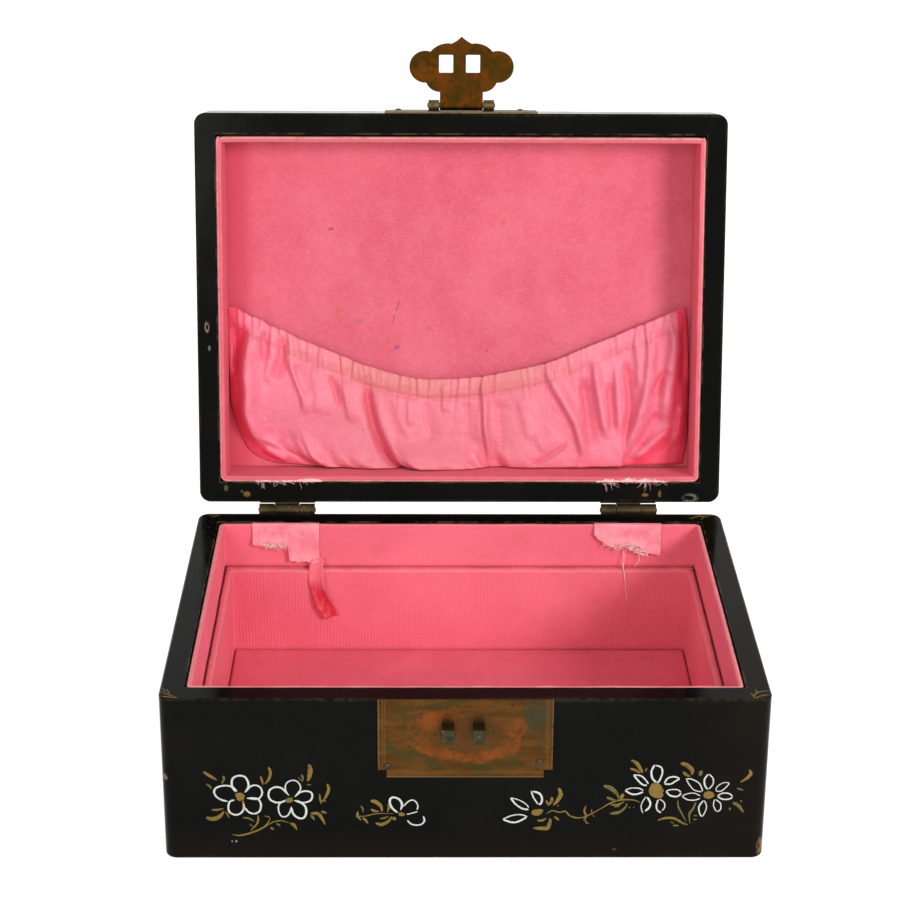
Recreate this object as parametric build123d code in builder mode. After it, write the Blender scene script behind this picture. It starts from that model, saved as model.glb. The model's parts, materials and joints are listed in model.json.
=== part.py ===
from build123d import *
import os
from math import sin, sqrt

# A lacquered wooden jewelry box with a hinged lid, cloth lining and brass fittings, in millimetres.
# The origin is the centre of the underside. +X is to the right, +Y to the hinged rear, +Z up.
# The lid is drawn closed on the base and then turned open about its hinges, as in the photograph.

# Wooden box
box_width = 240.0
box_depth = 178.0
base_height = 72.5
lid_height = 33.0
wall = 9.5
bottom_thickness = 8.3
top_thickness = 5.0
corner_radius = 5.0
edge_round = 1.2
rim_bevel = 0.6
lap_depth = 6.0
rabbet_depth = 5.0
seam_gap = 0.4
open_angle = 102.0

# Cloth lining, glued on card
lining_corner = 2.5
lining_crease = 0.8
lining_bevel = 0.6
lining_gap = 0.7
floor_lining = 2.0
floor_clearance = 0.2
ledge_lining = 5.3
ledge_drop = 21.8
upper_lining = 1.9
upper_setback = 0.5
lid_lining = 2.5
lid_setback = 0.4
panel_lining = 1.5

# Gathered pocket on the lid's panel
cloth = 0.9
pocket_side_clearance = 0.15
pocket_slope = 6.0
pocket_tuck = 0.5
pocket_foot = 3.0
pocket_body = 18.0
pocket_casing = 9.0
pocket_rise = 4.0
pocket_fullness = 3.4
pocket_folds = 12
pocket_fold_swing = 0.32
pocket_fold_lean = 15.0
mouth_depth = 42.0
mouth_radius = 150.0
mouth_half_arc = 60.0
elastic_width = 3.5
elastic_thickness = 0.5
elastic_setback = 3.5

# Torn cloth ends of the strips that once held the lid
tab_cloth = 0.6
tab_fold = 0.5
stub_cloth = 0.3
ribbon_cloth = 0.5
ribbon_width = 4.6
ribbon_drop = 33.0
ribbon_lap = 4.0
ribbon_clearance = 0.4

# Hinges on the rear face
hinge_left_inset = 40.2
hinge_right_inset = 41.9
hinge_width = 25.5
hinge_middle = 11.2
hinge_leaf_height = 18.0
leaf_sheet = 1.0
hinge_radius = 2.85
hinge_offset = 3.6
hinge_clearance = 0.35
knuckle_clearance = 0.25
pin_radius = 1.25
pin_running = 0.05
pin_head = 0.5

# Lock plate and hasp on the front face
plate_left = -34.4
plate_right = 34.3
lock_plate_height = 34.5
hasp_plate_height = 27.0
plate_notch = 3.4
plate = 0.8
hasp_axis_height = 5.2
hasp_axis_offset = 3.5
hasp_radius = 2.4
hasp_leaf = 1.0
hasp_knuckle = 19.3
hasp_plate_knuckle = 4.9
hasp_knuckle_clearance = 0.25
hasp_swung_out = 78.0
hasp_tip_reach = 31.5
hasp_ogee_middle_across = 2.1
hasp_ogee_middle_rise = 1.8
hasp_ogee_across = 4.5
hasp_ogee_rise = 3.2
hasp_crown_middle_across = 9.6
hasp_crown_middle_rise = 3.7
hasp_crown_across = 13.9
hasp_crown_rise = 6.8
side_lobe_middle_across = 23.3
side_lobe_middle_rise = 13.0
side_lobe_across = 15.8
side_lobe_rise = 20.7
small_lobe_middle_across = 13.6
small_lobe_middle_rise = 23.6
small_lobe_across = 10.2
small_lobe_rise = 24.9
hasp_slot_drop = 19.3
slot_width = 6.3
slot_height = 8.2

# Staples that pass through the hasp's slots
staple_x = -0.9
staple_spacing = 12.0
staple_width = 4.7
staple_height = 6.9
staple_reach = 6.0
staple_wire = 1.1
staple_corner = 2.2
staple_leg = 6.0

# Nails
nail_head_radius = 1.5
nail_head_height = 0.7
nail_shank = 0.9
nail_length = 5.0
hinge_nail_inset = 4.2
lock_nail_insets = ((3.5, 4.9), (5.3, 6.6))
hasp_nail_insets = ((5.9, 5.2), (7.1, 5.8))

# Levels and places that follow from the sizes above
seam = base_height + seam_gap / 2
lid_rim = base_height + seam_gap
lid_top = lid_rim + lid_height
panel_face = lid_top - top_thickness - panel_lining
inner_x = box_width / 2 - wall
inner_y = box_depth / 2 - wall
lining_x = inner_x - lining_gap
lining_y = inner_y - lining_gap
ledge_height = base_height - ledge_drop
upper_top = base_height - upper_setback
tab_face = lining_y - upper_lining
hinge_left_x = hinge_left_inset - box_width / 2
hinge_right_x = box_width / 2 - hinge_right_inset
lid_axis = Axis((0, box_depth / 2 + hinge_offset, seam), (1, 0, 0))
hasp_level = lid_rim + hasp_axis_height
hasp_out = box_depth / 2 + hasp_axis_offset
hasp_axis = Axis((0, -hasp_out, hasp_level), (1, 0, 0))
staple_level = hasp_level - hasp_slot_drop
front_face = Plane(origin=(0, -box_depth / 2, 0), x_dir=(1, 0, 0), z_dir=(0, -1, 0))
rear_face = Plane(origin=(0, box_depth / 2, 0), x_dir=(-1, 0, 0), z_dir=(0, 1, 0))
sides = ("front", "rear", "left", "right")

opened = ((lid_axis, -open_angle),)
opened_hasp = ((hasp_axis, -hasp_swung_out), (lid_axis, -open_angle))

os.makedirs("parts", exist_ok=True)


def hand_over(piece, name, turns=()):
    """Turn a finished piece to its place at rest, label it and write it to its own file."""
    for axis, angle in turns:
        piece.part = piece.part.rotate(axis, angle)
    piece.part.label = name
    export_step(piece.part, f"parts/{name}.step")


def outline(points):
    """A closed face in the sketch around it, through the given corners."""
    with BuildLine() as edge:
        Polyline(*points, close=True)
    make_face(edge.edges())


def board_plan(side):
    """Plan of one case board: the front and rear boards are rabbeted to take the ends of the side boards."""
    x, y = box_width / 2, box_depth / 2
    if side in ("left", "right"):
        sign = -1 if side == "left" else 1
        end = y - lap_depth
        return [(sign * x, -end), (sign * x, end), (sign * inner_x, end), (sign * inner_x, -end)]
    sign = -1 if side == "front" else 1
    lap = sign * (y - lap_depth)
    return [(-x, sign * y), (x, sign * y), (x, lap), (inner_x, lap), (inner_x, sign * inner_y),
            (-inner_x, sign * inner_y), (-inner_x, lap), (-x, lap)]


def mitred_plan(side, x, y, reach):
    """Plan of one side of a lining frame with the given half sizes, cut at 45 degrees at its ends."""
    if side in ("left", "right"):
        sign = -1 if side == "left" else 1
        return [(sign * x, -y), (sign * x, y), (sign * (x - reach), y - reach), (sign * (x - reach), reach - y)]
    sign = -1 if side == "front" else 1
    return [(-x, sign * y), (x, sign * y), (x - reach, sign * (y - reach)), (reach - x, sign * (y - reach))]


def lining_frame(name, x, y, thickness, low, high, edge_face, turns=()):
    """Four strips of lined card round a frame, creased where they meet, each its own piece."""
    with BuildPart() as frame:
        with BuildSketch(Plane.XY.offset(low)):
            RectangleRounded(2 * x, 2 * y, lining_corner)
            RectangleRounded(2 * (x - thickness), 2 * (y - thickness), lining_crease, mode=Mode.SUBTRACT)
        extrude(amount=high - low)
        chamfer(frame.faces().sort_by(Axis.Z)[edge_face].edges(), lining_bevel)
    for side in sides:
        with BuildPart() as strip:
            add(frame.part)
            with BuildSketch(Plane.XY.offset(low)):
                outline(mitred_plan(side, x, y, lining_corner + 2 * thickness))
            extrude(amount=high - low, mode=Mode.INTERSECT)
        hand_over(strip, f"{name}_{side}", turns)


# One brass nail: a low round head on a square shank, with the underside of its head at the origin
with BuildPart() as nail:
    with BuildSketch():
        Circle(nail_head_radius)
    extrude(amount=nail_head_height, taper=50)
    with BuildSketch():
        Rectangle(nail_shank, nail_shank)
    extrude(amount=-nail_length)


def nails(name, plane, places, turns=()):
    """A group of equal nails with their heads on a plane."""
    with BuildPart(plane) as group:
        with Locations(*places):
            add(nail.part)
    hand_over(group, name, turns)


def nail_holes(plane, places, depth):
    """Holes for nail shanks, cut downward from a plane into the part around them."""
    with BuildSketch(plane) as holes:
        with Locations(*places):
            Rectangle(nail_shank, nail_shank)
    extrude(holes.sketch, amount=-depth, mode=Mode.SUBTRACT)


# Nail places, across and up on the face that they are driven into
(left_in, left_up), (right_in, right_up) = lock_nail_insets
lock_nails = [(plate_left + left_in, base_height - lock_plate_height + left_up),
              (plate_right - right_in, base_height - lock_plate_height + right_up)]
(left_in, left_up), (right_in, right_up) = hasp_nail_insets
hasp_nails = [(plate_left + left_in, lid_rim + hasp_plate_height - left_up),
              (plate_right - right_in, lid_rim + hasp_plate_height - right_up)]
nail_row = (hinge_radius + hinge_clearance + hinge_leaf_height) / 2
nail_half = hinge_width / 2 - hinge_nail_inset
hinge_columns = [-x + side * nail_half for x in (hinge_left_x, hinge_right_x) for side in (-1, 1)]
base_hinge_places = [(x, seam - nail_row) for x in hinge_columns]
lid_hinge_places = [(x, seam + nail_row) for x in hinge_columns]
plate_nail_depth = nail_length - plate
leaf_nail_depth = nail_length - leaf_sheet

# Base case, as one form that its boards are cut from
with BuildPart() as base_case:
    with BuildSketch():
        RectangleRounded(box_width, box_depth, corner_radius)
    extrude(amount=base_height)
    fillet(base_case.faces().sort_by(Axis.Z)[0].edges(), edge_round)
    chamfer(base_case.faces().sort_by(Axis.Z)[-1].edges(), rim_bevel)
    with BuildSketch():
        Rectangle(2 * (inner_x + rabbet_depth), 2 * (inner_y + rabbet_depth))
    extrude(amount=bottom_thickness, mode=Mode.SUBTRACT)
    with BuildSketch(Plane.XY.offset(bottom_thickness)):
        Rectangle(2 * inner_x, 2 * inner_y)
    extrude(amount=base_height, mode=Mode.SUBTRACT)

staple_places = [(staple_x + side * staple_spacing / 2, staple_level) for side in (-1, 1)]
leg_rise = (staple_height - staple_wire) / 2
leg_places = [(x, z + side * leg_rise) for x, z in staple_places for side in (-1, 1)]
for side in sides:
    with BuildPart() as board:
        add(base_case.part)
        with BuildSketch():
            outline(board_plan(side))
        extrude(amount=base_height, mode=Mode.INTERSECT)
        if side == "front":
            nail_holes(front_face, lock_nails, plate_nail_depth)
            with BuildSketch(front_face):
                with Locations(*leg_places):
                    Rectangle(staple_width, staple_wire)
            extrude(amount=-staple_leg, mode=Mode.SUBTRACT)
        if side == "rear":
            nail_holes(rear_face, base_hinge_places, leaf_nail_depth)
    hand_over(board, f"base_{side}_board")

# Bottom board, let into rabbets round the base
with BuildPart() as base_bottom_board:
    with BuildSketch():
        Rectangle(2 * (inner_x + rabbet_depth), 2 * (inner_y + rabbet_depth))
    extrude(amount=bottom_thickness)
hand_over(base_bottom_board, "base_bottom_board")

# Base lining: ledge strips that carried a tray, thinner strips above them, and the floor pad
lining_frame("ledge_liner", lining_x, lining_y, ledge_lining, bottom_thickness, ledge_height, -1)
lining_frame("upper_liner", lining_x, lining_y, upper_lining, ledge_height, upper_top, -1)
with BuildPart() as floor_liner:
    with BuildSketch(Plane.XY.offset(bottom_thickness)):
        floor_inset = ledge_lining + floor_clearance
        RectangleRounded(2 * (lining_x - floor_inset), 2 * (lining_y - floor_inset), lining_crease)
    extrude(amount=floor_lining)
    chamfer(floor_liner.faces().sort_by(Axis.Z)[-1].edges(), lining_bevel)
hand_over(floor_liner, "floor_liner")

# Lid case, drawn closed above the seam
with BuildPart() as lid_case:
    with BuildSketch(Plane.XY.offset(lid_rim)):
        RectangleRounded(box_width, box_depth, corner_radius)
    extrude(amount=lid_height)
    chamfer(lid_case.faces().sort_by(Axis.Z)[0].edges(), rim_bevel)
    fillet(lid_case.faces().sort_by(Axis.Z)[-1].edges(), edge_round)
    with BuildSketch(Plane.XY.offset(lid_top - top_thickness)):
        Rectangle(2 * (inner_x + rabbet_depth), 2 * (inner_y + rabbet_depth))
    extrude(amount=top_thickness, mode=Mode.SUBTRACT)
    with BuildSketch(Plane.XY.offset(lid_rim)):
        Rectangle(2 * inner_x, 2 * inner_y)
    extrude(amount=lid_height - top_thickness, mode=Mode.SUBTRACT)

for side in sides:
    with BuildPart() as board:
        add(lid_case.part)
        with BuildSketch(Plane.XY.offset(lid_rim)):
            outline(board_plan(side))
        extrude(amount=lid_height, mode=Mode.INTERSECT)
        if side == "front":
            nail_holes(front_face, hasp_nails, plate_nail_depth)
        if side == "rear":
            nail_holes(rear_face, lid_hinge_places, leaf_nail_depth)
    hand_over(board, f"lid_{side}_board", opened)

with BuildPart() as lid_top_panel:
    with BuildSketch(Plane.XY.offset(lid_top - top_thickness)):
        Rectangle(2 * (inner_x + rabbet_depth), 2 * (inner_y + rabbet_depth))
    extrude(amount=top_thickness)
hand_over(lid_top_panel, "lid_top_panel", opened)

# Lid lining: strips along the walls and a pad over the panel
lining_frame("lid_liner", inner_x, inner_y, lid_lining, lid_rim + lid_setback, panel_face, 0, opened)
with BuildPart() as lid_panel_liner:
    with BuildSketch(Plane.XY.offset(panel_face)):
        Rectangle(2 * inner_x, 2 * inner_y)
    extrude(amount=panel_lining)
hand_over(lid_panel_liner, "lid_panel_liner", opened)

# Pocket of gathered cloth. A section across the lid rises from the panel at each side and runs in
# uneven folds between, which lean to the right on their way from the mouth to the rear strip. Each
# station has its distance from the rear strip, the share of the lean that is left there, and the
# clear heights behind the cloth, in the hollows and on the crests of its folds.
pocket_half = inner_x - lid_lining - pocket_side_clearance
pocket_flat = pocket_half - pocket_slope
pocket_rear = inner_y - lid_lining - pocket_side_clearance
pocket_stations = (
    (0.0, 1.0, 0.0, pocket_tuck),
    (pocket_foot, 0.95, 0.7 * pocket_rise, 0.7 * pocket_rise + 0.6 * pocket_fullness),
    (pocket_body, 0.6, pocket_rise, pocket_rise + pocket_fullness),
    (mouth_depth - pocket_casing, 0.2, pocket_rise, pocket_rise + 0.8 * pocket_fullness),
    (2 * mouth_depth, 0.0, pocket_rise, pocket_rise + 0.7 * pocket_fullness),
)
fold_widths = [1 + pocket_fold_swing * sin(2.4 * fold) for fold in range(pocket_folds)]
fold_scale = 2 * pocket_flat / sum(fold_widths)
fold_edges = [-pocket_flat + fold_scale * sum(fold_widths[:fold]) for fold in range(pocket_folds + 1)]


def fold_run(lean, hollow, crest):
    """The corners of the folded line across the lid: each fold has two flanks and a rounded crest."""
    edges = [x + lean * pocket_fold_lean * (1 - (x / pocket_flat) ** 2) for x in fold_edges]
    corners = [(edges[0], panel_face - hollow)]
    for left, right in zip(edges[:-1], edges[1:]):
        for share, height in ((0.25, 0.8), (0.5, 1.0), (0.75, 0.8), (1.0, 0.0)):
            corners.append((left + share * (right - left), panel_face - hollow - height * (crest - hollow)))
    return corners


def mouth_line(setback):
    """The sagging mouth in plan: an arc in the middle that runs on straight to both sides."""
    middle = mouth_depth - setback
    drop = mouth_radius - sqrt(mouth_radius ** 2 - mouth_half_arc ** 2)
    slope = mouth_half_arc / sqrt(mouth_radius ** 2 - mouth_half_arc ** 2)
    end = middle + drop + slope * (pocket_half - mouth_half_arc)
    return middle, middle + drop, end


def below_mouth(setback, mode=Mode.ADD):
    """In plan, all of the lid from its rear strip to the mouth line at this setback."""
    middle, knee, end = mouth_line(setback)
    with BuildLine() as edge:
        Line((-pocket_half, pocket_rear - end), (-mouth_half_arc, pocket_rear - knee))
        ThreePointArc((-mouth_half_arc, pocket_rear - knee), (0, pocket_rear - middle),
                      (mouth_half_arc, pocket_rear - knee))
        Polyline((mouth_half_arc, pocket_rear - knee), (pocket_half, pocket_rear - end),
                 (pocket_half, pocket_rear), (-pocket_half, pocket_rear), (-pocket_half, pocket_rear - end))
    make_face(edge.edges(), mode=mode)


with BuildPart() as lid_pocket:
    for depth, lean, hollow, crest in pocket_stations:
        with BuildSketch(Plane.XZ.offset(depth - pocket_rear)):
            outline(fold_run(lean, hollow + cloth, crest + cloth)
                    + [(pocket_half, panel_face - cloth), (pocket_half, panel_face)]
                    + fold_run(lean, hollow, crest)[::-1]
                    + [(-pocket_half, panel_face), (-pocket_half, panel_face - cloth)])
    loft(ruled=True)
    with BuildSketch(Plane.XY.offset(lid_rim)):
        RectangleRounded(2 * pocket_half, 2 * pocket_rear, lining_corner)
        below_mouth(0, Mode.INTERSECT)
    extrude(amount=lid_height, mode=Mode.INTERSECT)
hand_over(lid_pocket, "lid_pocket", opened)

# Elastic tape along the mouth, sewn to the backs of the folds
elastic_level = panel_face - pocket_rise
with BuildPart() as pocket_elastic:
    with BuildSketch(Plane.XY.offset(elastic_level)):
        below_mouth(elastic_setback)
        below_mouth(elastic_setback + elastic_width, Mode.SUBTRACT)
        Rectangle(2 * pocket_flat, 2 * pocket_rear, mode=Mode.INTERSECT)
    extrude(amount=elastic_thickness)
hand_over(pocket_elastic, "pocket_elastic", opened)

# Torn ends of the cloth strips: tabs folded over the base's rear strip, stubs on the lid's rear strip
left_tear = [(-15.0, -9.4), (-10.2, -10.3), (-6.2, -9.6), (-2.2, -11.2), (1.5, -10.4), (2.0, -17.5),
             (5.8, -18.6), (9.3, -17.2), (12.8, -18.9), (15.4, -17.4)]
right_tear = [(-16.8, -4.9), (-12.1, -6.2), (-8.1, -8.3), (-4.1, -8.9), (-0.1, -9.6), (4.9, -11.4),
              (9.9, -14.2), (13.8, -15.5)]
for name, centre, tear in (("cloth_tab_left", hinge_left_x, left_tear),
                           ("cloth_tab_right", hinge_right_x, right_tear)):
    left, right = centre + tear[0][0], centre + tear[-1][0]
    with BuildPart() as tab:
        with BuildSketch(Plane.XZ.offset(-tab_face)):
            outline([(left, upper_top + tab_fold)] + [(centre + x, upper_top + z) for x, z in tear]
                    + [(right, upper_top + tab_fold)])
        extrude(amount=tab_cloth)
        with BuildSketch(Plane.XY.offset(upper_top)):
            outline([(left, tab_face), (right, tab_face), (right, lining_y), (left, lining_y)])
        extrude(amount=tab_fold)
    hand_over(tab, name)

# A narrow torn ribbon that hangs from the left tab, over the ledge and down in front of it
ribbon_top = upper_top + left_tear[8][1]
ribbon_path = [(10.8, 3.0), (13.8, -1.5), (17.2, -14.0), (19.6, -24.0), (17.5, -ribbon_drop)]
ledge_face = lining_y - ledge_lining
front_of_tab = tab_face - tab_cloth
over_ledge = ledge_height + ribbon_clearance
with BuildPart() as torn_ribbon:
    with BuildSketch(Plane.YZ.offset(-box_width / 2)):
        hang = ledge_face - ribbon_clearance
        outline([(front_of_tab, ribbon_top + ribbon_lap), (front_of_tab, ribbon_top), (hang, over_ledge),
                 (hang, ribbon_top - ribbon_drop), (hang - ribbon_cloth, ribbon_top - ribbon_drop),
                 (hang - ribbon_cloth, over_ledge + ribbon_cloth),
                 (front_of_tab - ribbon_cloth, ribbon_top + ribbon_cloth),
                 (front_of_tab - ribbon_cloth, ribbon_top + ribbon_lap)])
    extrude(amount=box_width / 2)
    with BuildSketch(Plane.XZ.offset(-box_depth / 2)):
        middle = [(hinge_left_x + x, ribbon_top + z) for x, z in ribbon_path]
        left_edge = [(x - ribbon_width / 2, z) for x, z in middle]
        right_edge = [(x + ribbon_width / 2, z) for x, z in middle]
        outline(left_edge + right_edge[::-1])
    extrude(amount=box_depth, mode=Mode.INTERSECT)
hand_over(torn_ribbon, "torn_ribbon")

left_stub = [(-2.2, 0.0), (-2.2, 2.2), (3.8, 1.5), (7.8, 2.4), (12.8, 1.6), (16.3, 2.1), (16.3, 0.0)]
right_stub = [(-3.1, 0.0), (-3.1, 2.0), (2.9, 2.4), (8.9, 1.5), (14.9, 2.3), (20.9, 1.4), (24.9, 2.0),
              (24.9, 0.0)]
for name, centre, tear in (("lid_stub_left", hinge_left_x, left_stub),
                           ("lid_stub_right", hinge_right_x, right_stub)):
    with BuildPart() as stub:
        with BuildSketch(Plane.XY.offset(lid_rim + lid_setback - stub_cloth)):
            outline([(centre + x, inner_y - y) for x, y in tear])
        extrude(amount=stub_cloth)
    hand_over(stub, name, opened)


# Hinges: each leaf is nailed on the rear face, and its barrel stands off so that the lid clears the base
def hinge_leaf(name, centre, up, nail_places, turns=()):
    """One leaf with its knuckles: the base's at both ends of the pin, the lid's between them."""
    y = box_depth / 2
    spans = [(-hinge_width / 2, -hinge_middle / 2 - knuckle_clearance),
             (hinge_middle / 2 + knuckle_clearance, hinge_width / 2)]
    bore = pin_radius
    if up > 0:
        spans = [(-hinge_middle / 2, hinge_middle / 2)]
        bore = pin_radius + pin_running
    with BuildPart() as leaf:
        with BuildSketch(rear_face):
            with Locations((-centre, seam + up * (hinge_radius + hinge_clearance + hinge_leaf_height) / 2)):
                Rectangle(hinge_width, hinge_leaf_height - hinge_radius - hinge_clearance)
        extrude(amount=leaf_sheet)
        chamfer(leaf.edges().filter_by(Axis.Y).group_by(Axis.Z)[-1 if up > 0 else 0], leaf_sheet)
        for low, high in spans:
            with BuildSketch(Plane.YZ.offset(centre + low)):
                with Locations((y + leaf_sheet / 2, seam + up * hinge_leaf_height / 4)):
                    Rectangle(leaf_sheet, hinge_leaf_height / 2)
                with Locations((y + hinge_offset, seam)):
                    Circle(hinge_radius)
            extrude(amount=high - low)
        with BuildSketch(Plane.YZ.offset(centre - hinge_width / 2)):
            with Locations((y + hinge_offset, seam)):
                Circle(bore)
        extrude(amount=hinge_width, mode=Mode.SUBTRACT)
        nail_holes(rear_face.offset(leaf_sheet), nail_places, leaf_sheet)
    hand_over(leaf, name, turns)


for side, centre in (("left", hinge_left_x), ("right", hinge_right_x)):
    columns = [x for x in hinge_columns if abs(x + centre) < hinge_width / 2]
    hinge_leaf(f"base_hinge_leaf_{side}", centre, -1, [(x, seam - nail_row) for x in columns])
    hinge_leaf(f"lid_hinge_leaf_{side}", centre, 1, [(x, seam + nail_row) for x in columns], opened)
    with BuildPart() as hinge_pin:
        with BuildSketch(Plane.YZ.offset(centre - hinge_width / 2 - pin_head)):
            with Locations((box_depth / 2 + hinge_offset, seam)):
                Circle(pin_radius)
        extrude(amount=hinge_width + 2 * pin_head)
        chamfer(hinge_pin.edges().filter_by(GeomType.CIRCLE), pin_head)
    hand_over(hinge_pin, f"hinge_pin_{side}")

nails("base_hinge_nails", rear_face.offset(leaf_sheet), base_hinge_places)
nails("lid_hinge_nails", rear_face.offset(leaf_sheet), lid_hinge_places, opened)


# Lock plate and hasp plate: one notched outline, hanging from the base's rim and standing on the lid's
def notched_plate(rim, far):
    """Plate outline from the rim to its far edge, with a square notch at both far corners."""
    step = plate_notch if far > rim else -plate_notch
    outline([(plate_left, rim), (plate_left, far - step), (plate_left + plate_notch, far - step),
             (plate_left + plate_notch, far), (plate_right - plate_notch, far),
             (plate_right - plate_notch, far - step), (plate_right, far - step), (plate_right, rim)])


with BuildPart() as lock_plate:
    with BuildSketch(front_face):
        notched_plate(base_height, base_height - lock_plate_height)
        with Locations(*leg_places):
            Rectangle(staple_width, staple_wire, mode=Mode.SUBTRACT)
    extrude(amount=plate)
    nail_holes(front_face.offset(plate), lock_nails, plate)
hand_over(lock_plate, "lock_plate")
nails("lock_plate_nails", front_face.offset(plate), lock_nails)

# Staples: flat brass strips bent to a loop, with legs through the plate into the board
staple_nose = box_depth / 2 + plate + staple_reach
staple_length = plate + staple_reach + staple_leg
for side, (x, z) in zip(("left", "right"), staple_places):
    with BuildPart() as staple:
        with BuildSketch(Plane.YZ.offset(x - staple_width / 2)) as loop:
            with Locations((-staple_nose + staple_length / 2, z)):
                Rectangle(staple_length, staple_height)
            fillet(loop.vertices().group_by(Axis.Y)[0], staple_corner)
            with Locations((-staple_nose + staple_wire + staple_length / 2, z)):
                Rectangle(staple_length, staple_height - 2 * staple_wire, mode=Mode.SUBTRACT)
        extrude(amount=staple_width)
    hand_over(staple, f"hasp_staple_{side}")

# Hasp plate on the lid's front, with a curled knuckle at each end of the hasp's pin
knuckle_starts = (-hasp_knuckle / 2 - hasp_knuckle_clearance - hasp_plate_knuckle,
                  hasp_knuckle / 2 + hasp_knuckle_clearance)
with BuildPart() as hasp_plate:
    with BuildSketch(front_face):
        notched_plate(lid_rim, lid_rim + hasp_plate_height)
    extrude(amount=plate)
    for start in knuckle_starts:
        with BuildSketch(Plane.YZ.offset(start)):
            with Locations((-hasp_out, hasp_level)):
                Circle(hasp_radius)
            with Locations((-hasp_out + hasp_axis_offset / 2, hasp_level + hasp_radius - plate / 2)):
                Rectangle(hasp_axis_offset, plate)
        extrude(amount=hasp_plate_knuckle)
    with BuildSketch(Plane.YZ.offset(-box_width / 2)):
        with Locations((-hasp_out, hasp_level)):
            Circle(pin_radius)
    extrude(amount=box_width, mode=Mode.SUBTRACT)
    nail_holes(front_face.offset(plate), hasp_nails, plate)
hand_over(hasp_plate, "hasp_plate", opened)
nails("hasp_plate_nails", front_face.offset(plate), hasp_nails, opened)

with BuildPart() as hasp_pin:
    with BuildSketch(Plane.YZ.offset(knuckle_starts[0] - pin_head)):
        with Locations((-hasp_out, hasp_level)):
            Circle(pin_radius)
    extrude(amount=knuckle_starts[1] - knuckle_starts[0] + hasp_plate_knuckle + 2 * pin_head)
    chamfer(hasp_pin.edges().filter_by(GeomType.CIRCLE), pin_head)
hand_over(hasp_pin, "hasp_pin", opened)

# Hasp: a cloud-shaped leaf on a wide knuckle, slotted for the two staples. Each half of its outline
# runs from the pointed tip through an ogee, a crown, the large side lobe and a small lobe to the neck,
# where each arc is given by its middle and its end, across from the centre and up from the tip.
hasp_face = Plane(origin=(0, -hasp_out + hasp_radius, hasp_level), x_dir=(1, 0, 0), z_dir=(0, -1, 0))
neck = hasp_knuckle / 2
hasp_arcs = (
    ((hasp_ogee_middle_across, hasp_ogee_middle_rise), (hasp_ogee_across, hasp_ogee_rise)),
    ((hasp_crown_middle_across, hasp_crown_middle_rise), (hasp_crown_across, hasp_crown_rise)),
    ((side_lobe_middle_across, side_lobe_middle_rise), (side_lobe_across, side_lobe_rise)),
    ((small_lobe_middle_across, small_lobe_middle_rise), (small_lobe_across, small_lobe_rise)),
)
with BuildPart() as hasp:
    with BuildSketch(hasp_face):
        with BuildLine():
            start = (0, -hasp_tip_reach)
            for arc in hasp_arcs:
                middle, end = [(x, rise - hasp_tip_reach) for x, rise in arc]
                ThreePointArc(start, middle, end)
                start = end
            Polyline(start, (neck, start[1]), (neck, 0), (0, 0))
            mirror(about=Plane.YZ)
        make_face()
        with Locations(*[(x, -hasp_slot_drop) for x, z in staple_places]):
            RectangleRounded(slot_width, slot_height, hasp_leaf / 2, mode=Mode.SUBTRACT)
    extrude(amount=hasp_leaf)
    with BuildSketch(Plane.YZ.offset(-neck)):
        with Locations((-hasp_out, hasp_level)):
            Circle(hasp_radius)
    extrude(amount=hasp_knuckle)
    with BuildSketch(Plane.YZ.offset(-neck)):
        with Locations((-hasp_out, hasp_level)):
            Circle(pin_radius + pin_running)
    extrude(amount=hasp_knuckle, mode=Mode.SUBTRACT)
hand_over(hasp, "hasp", opened_hasp)
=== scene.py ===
import json
import math

import bmesh
import bpy
import numpy as np
from bpy.props import FloatProperty, FloatVectorProperty, IntProperty, PointerProperty
from mathutils import Matrix, Vector, noise


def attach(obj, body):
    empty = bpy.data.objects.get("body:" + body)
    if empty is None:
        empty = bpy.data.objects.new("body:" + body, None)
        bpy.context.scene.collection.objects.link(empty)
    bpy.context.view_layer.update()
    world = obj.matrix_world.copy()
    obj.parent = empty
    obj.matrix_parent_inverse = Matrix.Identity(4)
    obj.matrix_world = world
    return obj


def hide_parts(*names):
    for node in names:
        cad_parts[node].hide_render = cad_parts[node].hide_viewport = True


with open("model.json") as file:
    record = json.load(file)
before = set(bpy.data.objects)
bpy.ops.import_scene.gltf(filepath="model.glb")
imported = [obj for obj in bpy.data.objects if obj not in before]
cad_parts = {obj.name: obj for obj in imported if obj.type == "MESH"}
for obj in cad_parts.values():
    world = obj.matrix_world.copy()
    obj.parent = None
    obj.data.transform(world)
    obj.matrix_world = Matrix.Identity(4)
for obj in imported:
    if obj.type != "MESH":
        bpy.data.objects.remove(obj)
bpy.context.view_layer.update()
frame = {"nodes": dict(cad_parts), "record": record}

bl_info = {
    "name": "Lacquer Jewelry Box",
    "version": (1, 0, 0),
    "blender": (4, 5, 0),
    "location": "View3D > Sidebar > Jewelry Box",
    "description": "Linings, gathered pocket, brass and painted flowers for an open lacquer jewelry box",
    "category": "Add Mesh",
}

MM = 0.001

# The lid's hinge turns it from closed to the open place that the frame shows.
lid_joint = next(j for j in frame["record"]["behaviour"]["joints"] if j["name"] == "lid_hinge")
hinge_point = Vector(lid_joint["pos_m"])
open_angle = math.radians(lid_joint["range_deg"][1])
LID_OPEN = (Matrix.Translation(hinge_point) @ Matrix.Rotation(-open_angle, 4, "X")
            @ Matrix.Translation(-hinge_point))
IN_PLACE = Matrix.Identity(4)

# Case sizes in millimetres: outside, inside the walls, and the levels with the lid closed
HALF_WIDTH = 120.0
HALF_DEPTH = 89.0
INNER_X = 110.5
INNER_Y = 79.5
FLOOR = 8.3
LEDGE = 50.7
BASE_RIM = 72.5
LID_RIM = 72.9
LID_HEIGHT = 33.0
PANEL_FACE = 99.4
PANEL_BACK = 100.9
LINING_X = 109.8
LINING_Y = 78.8
CREASE = 0.8
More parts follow.
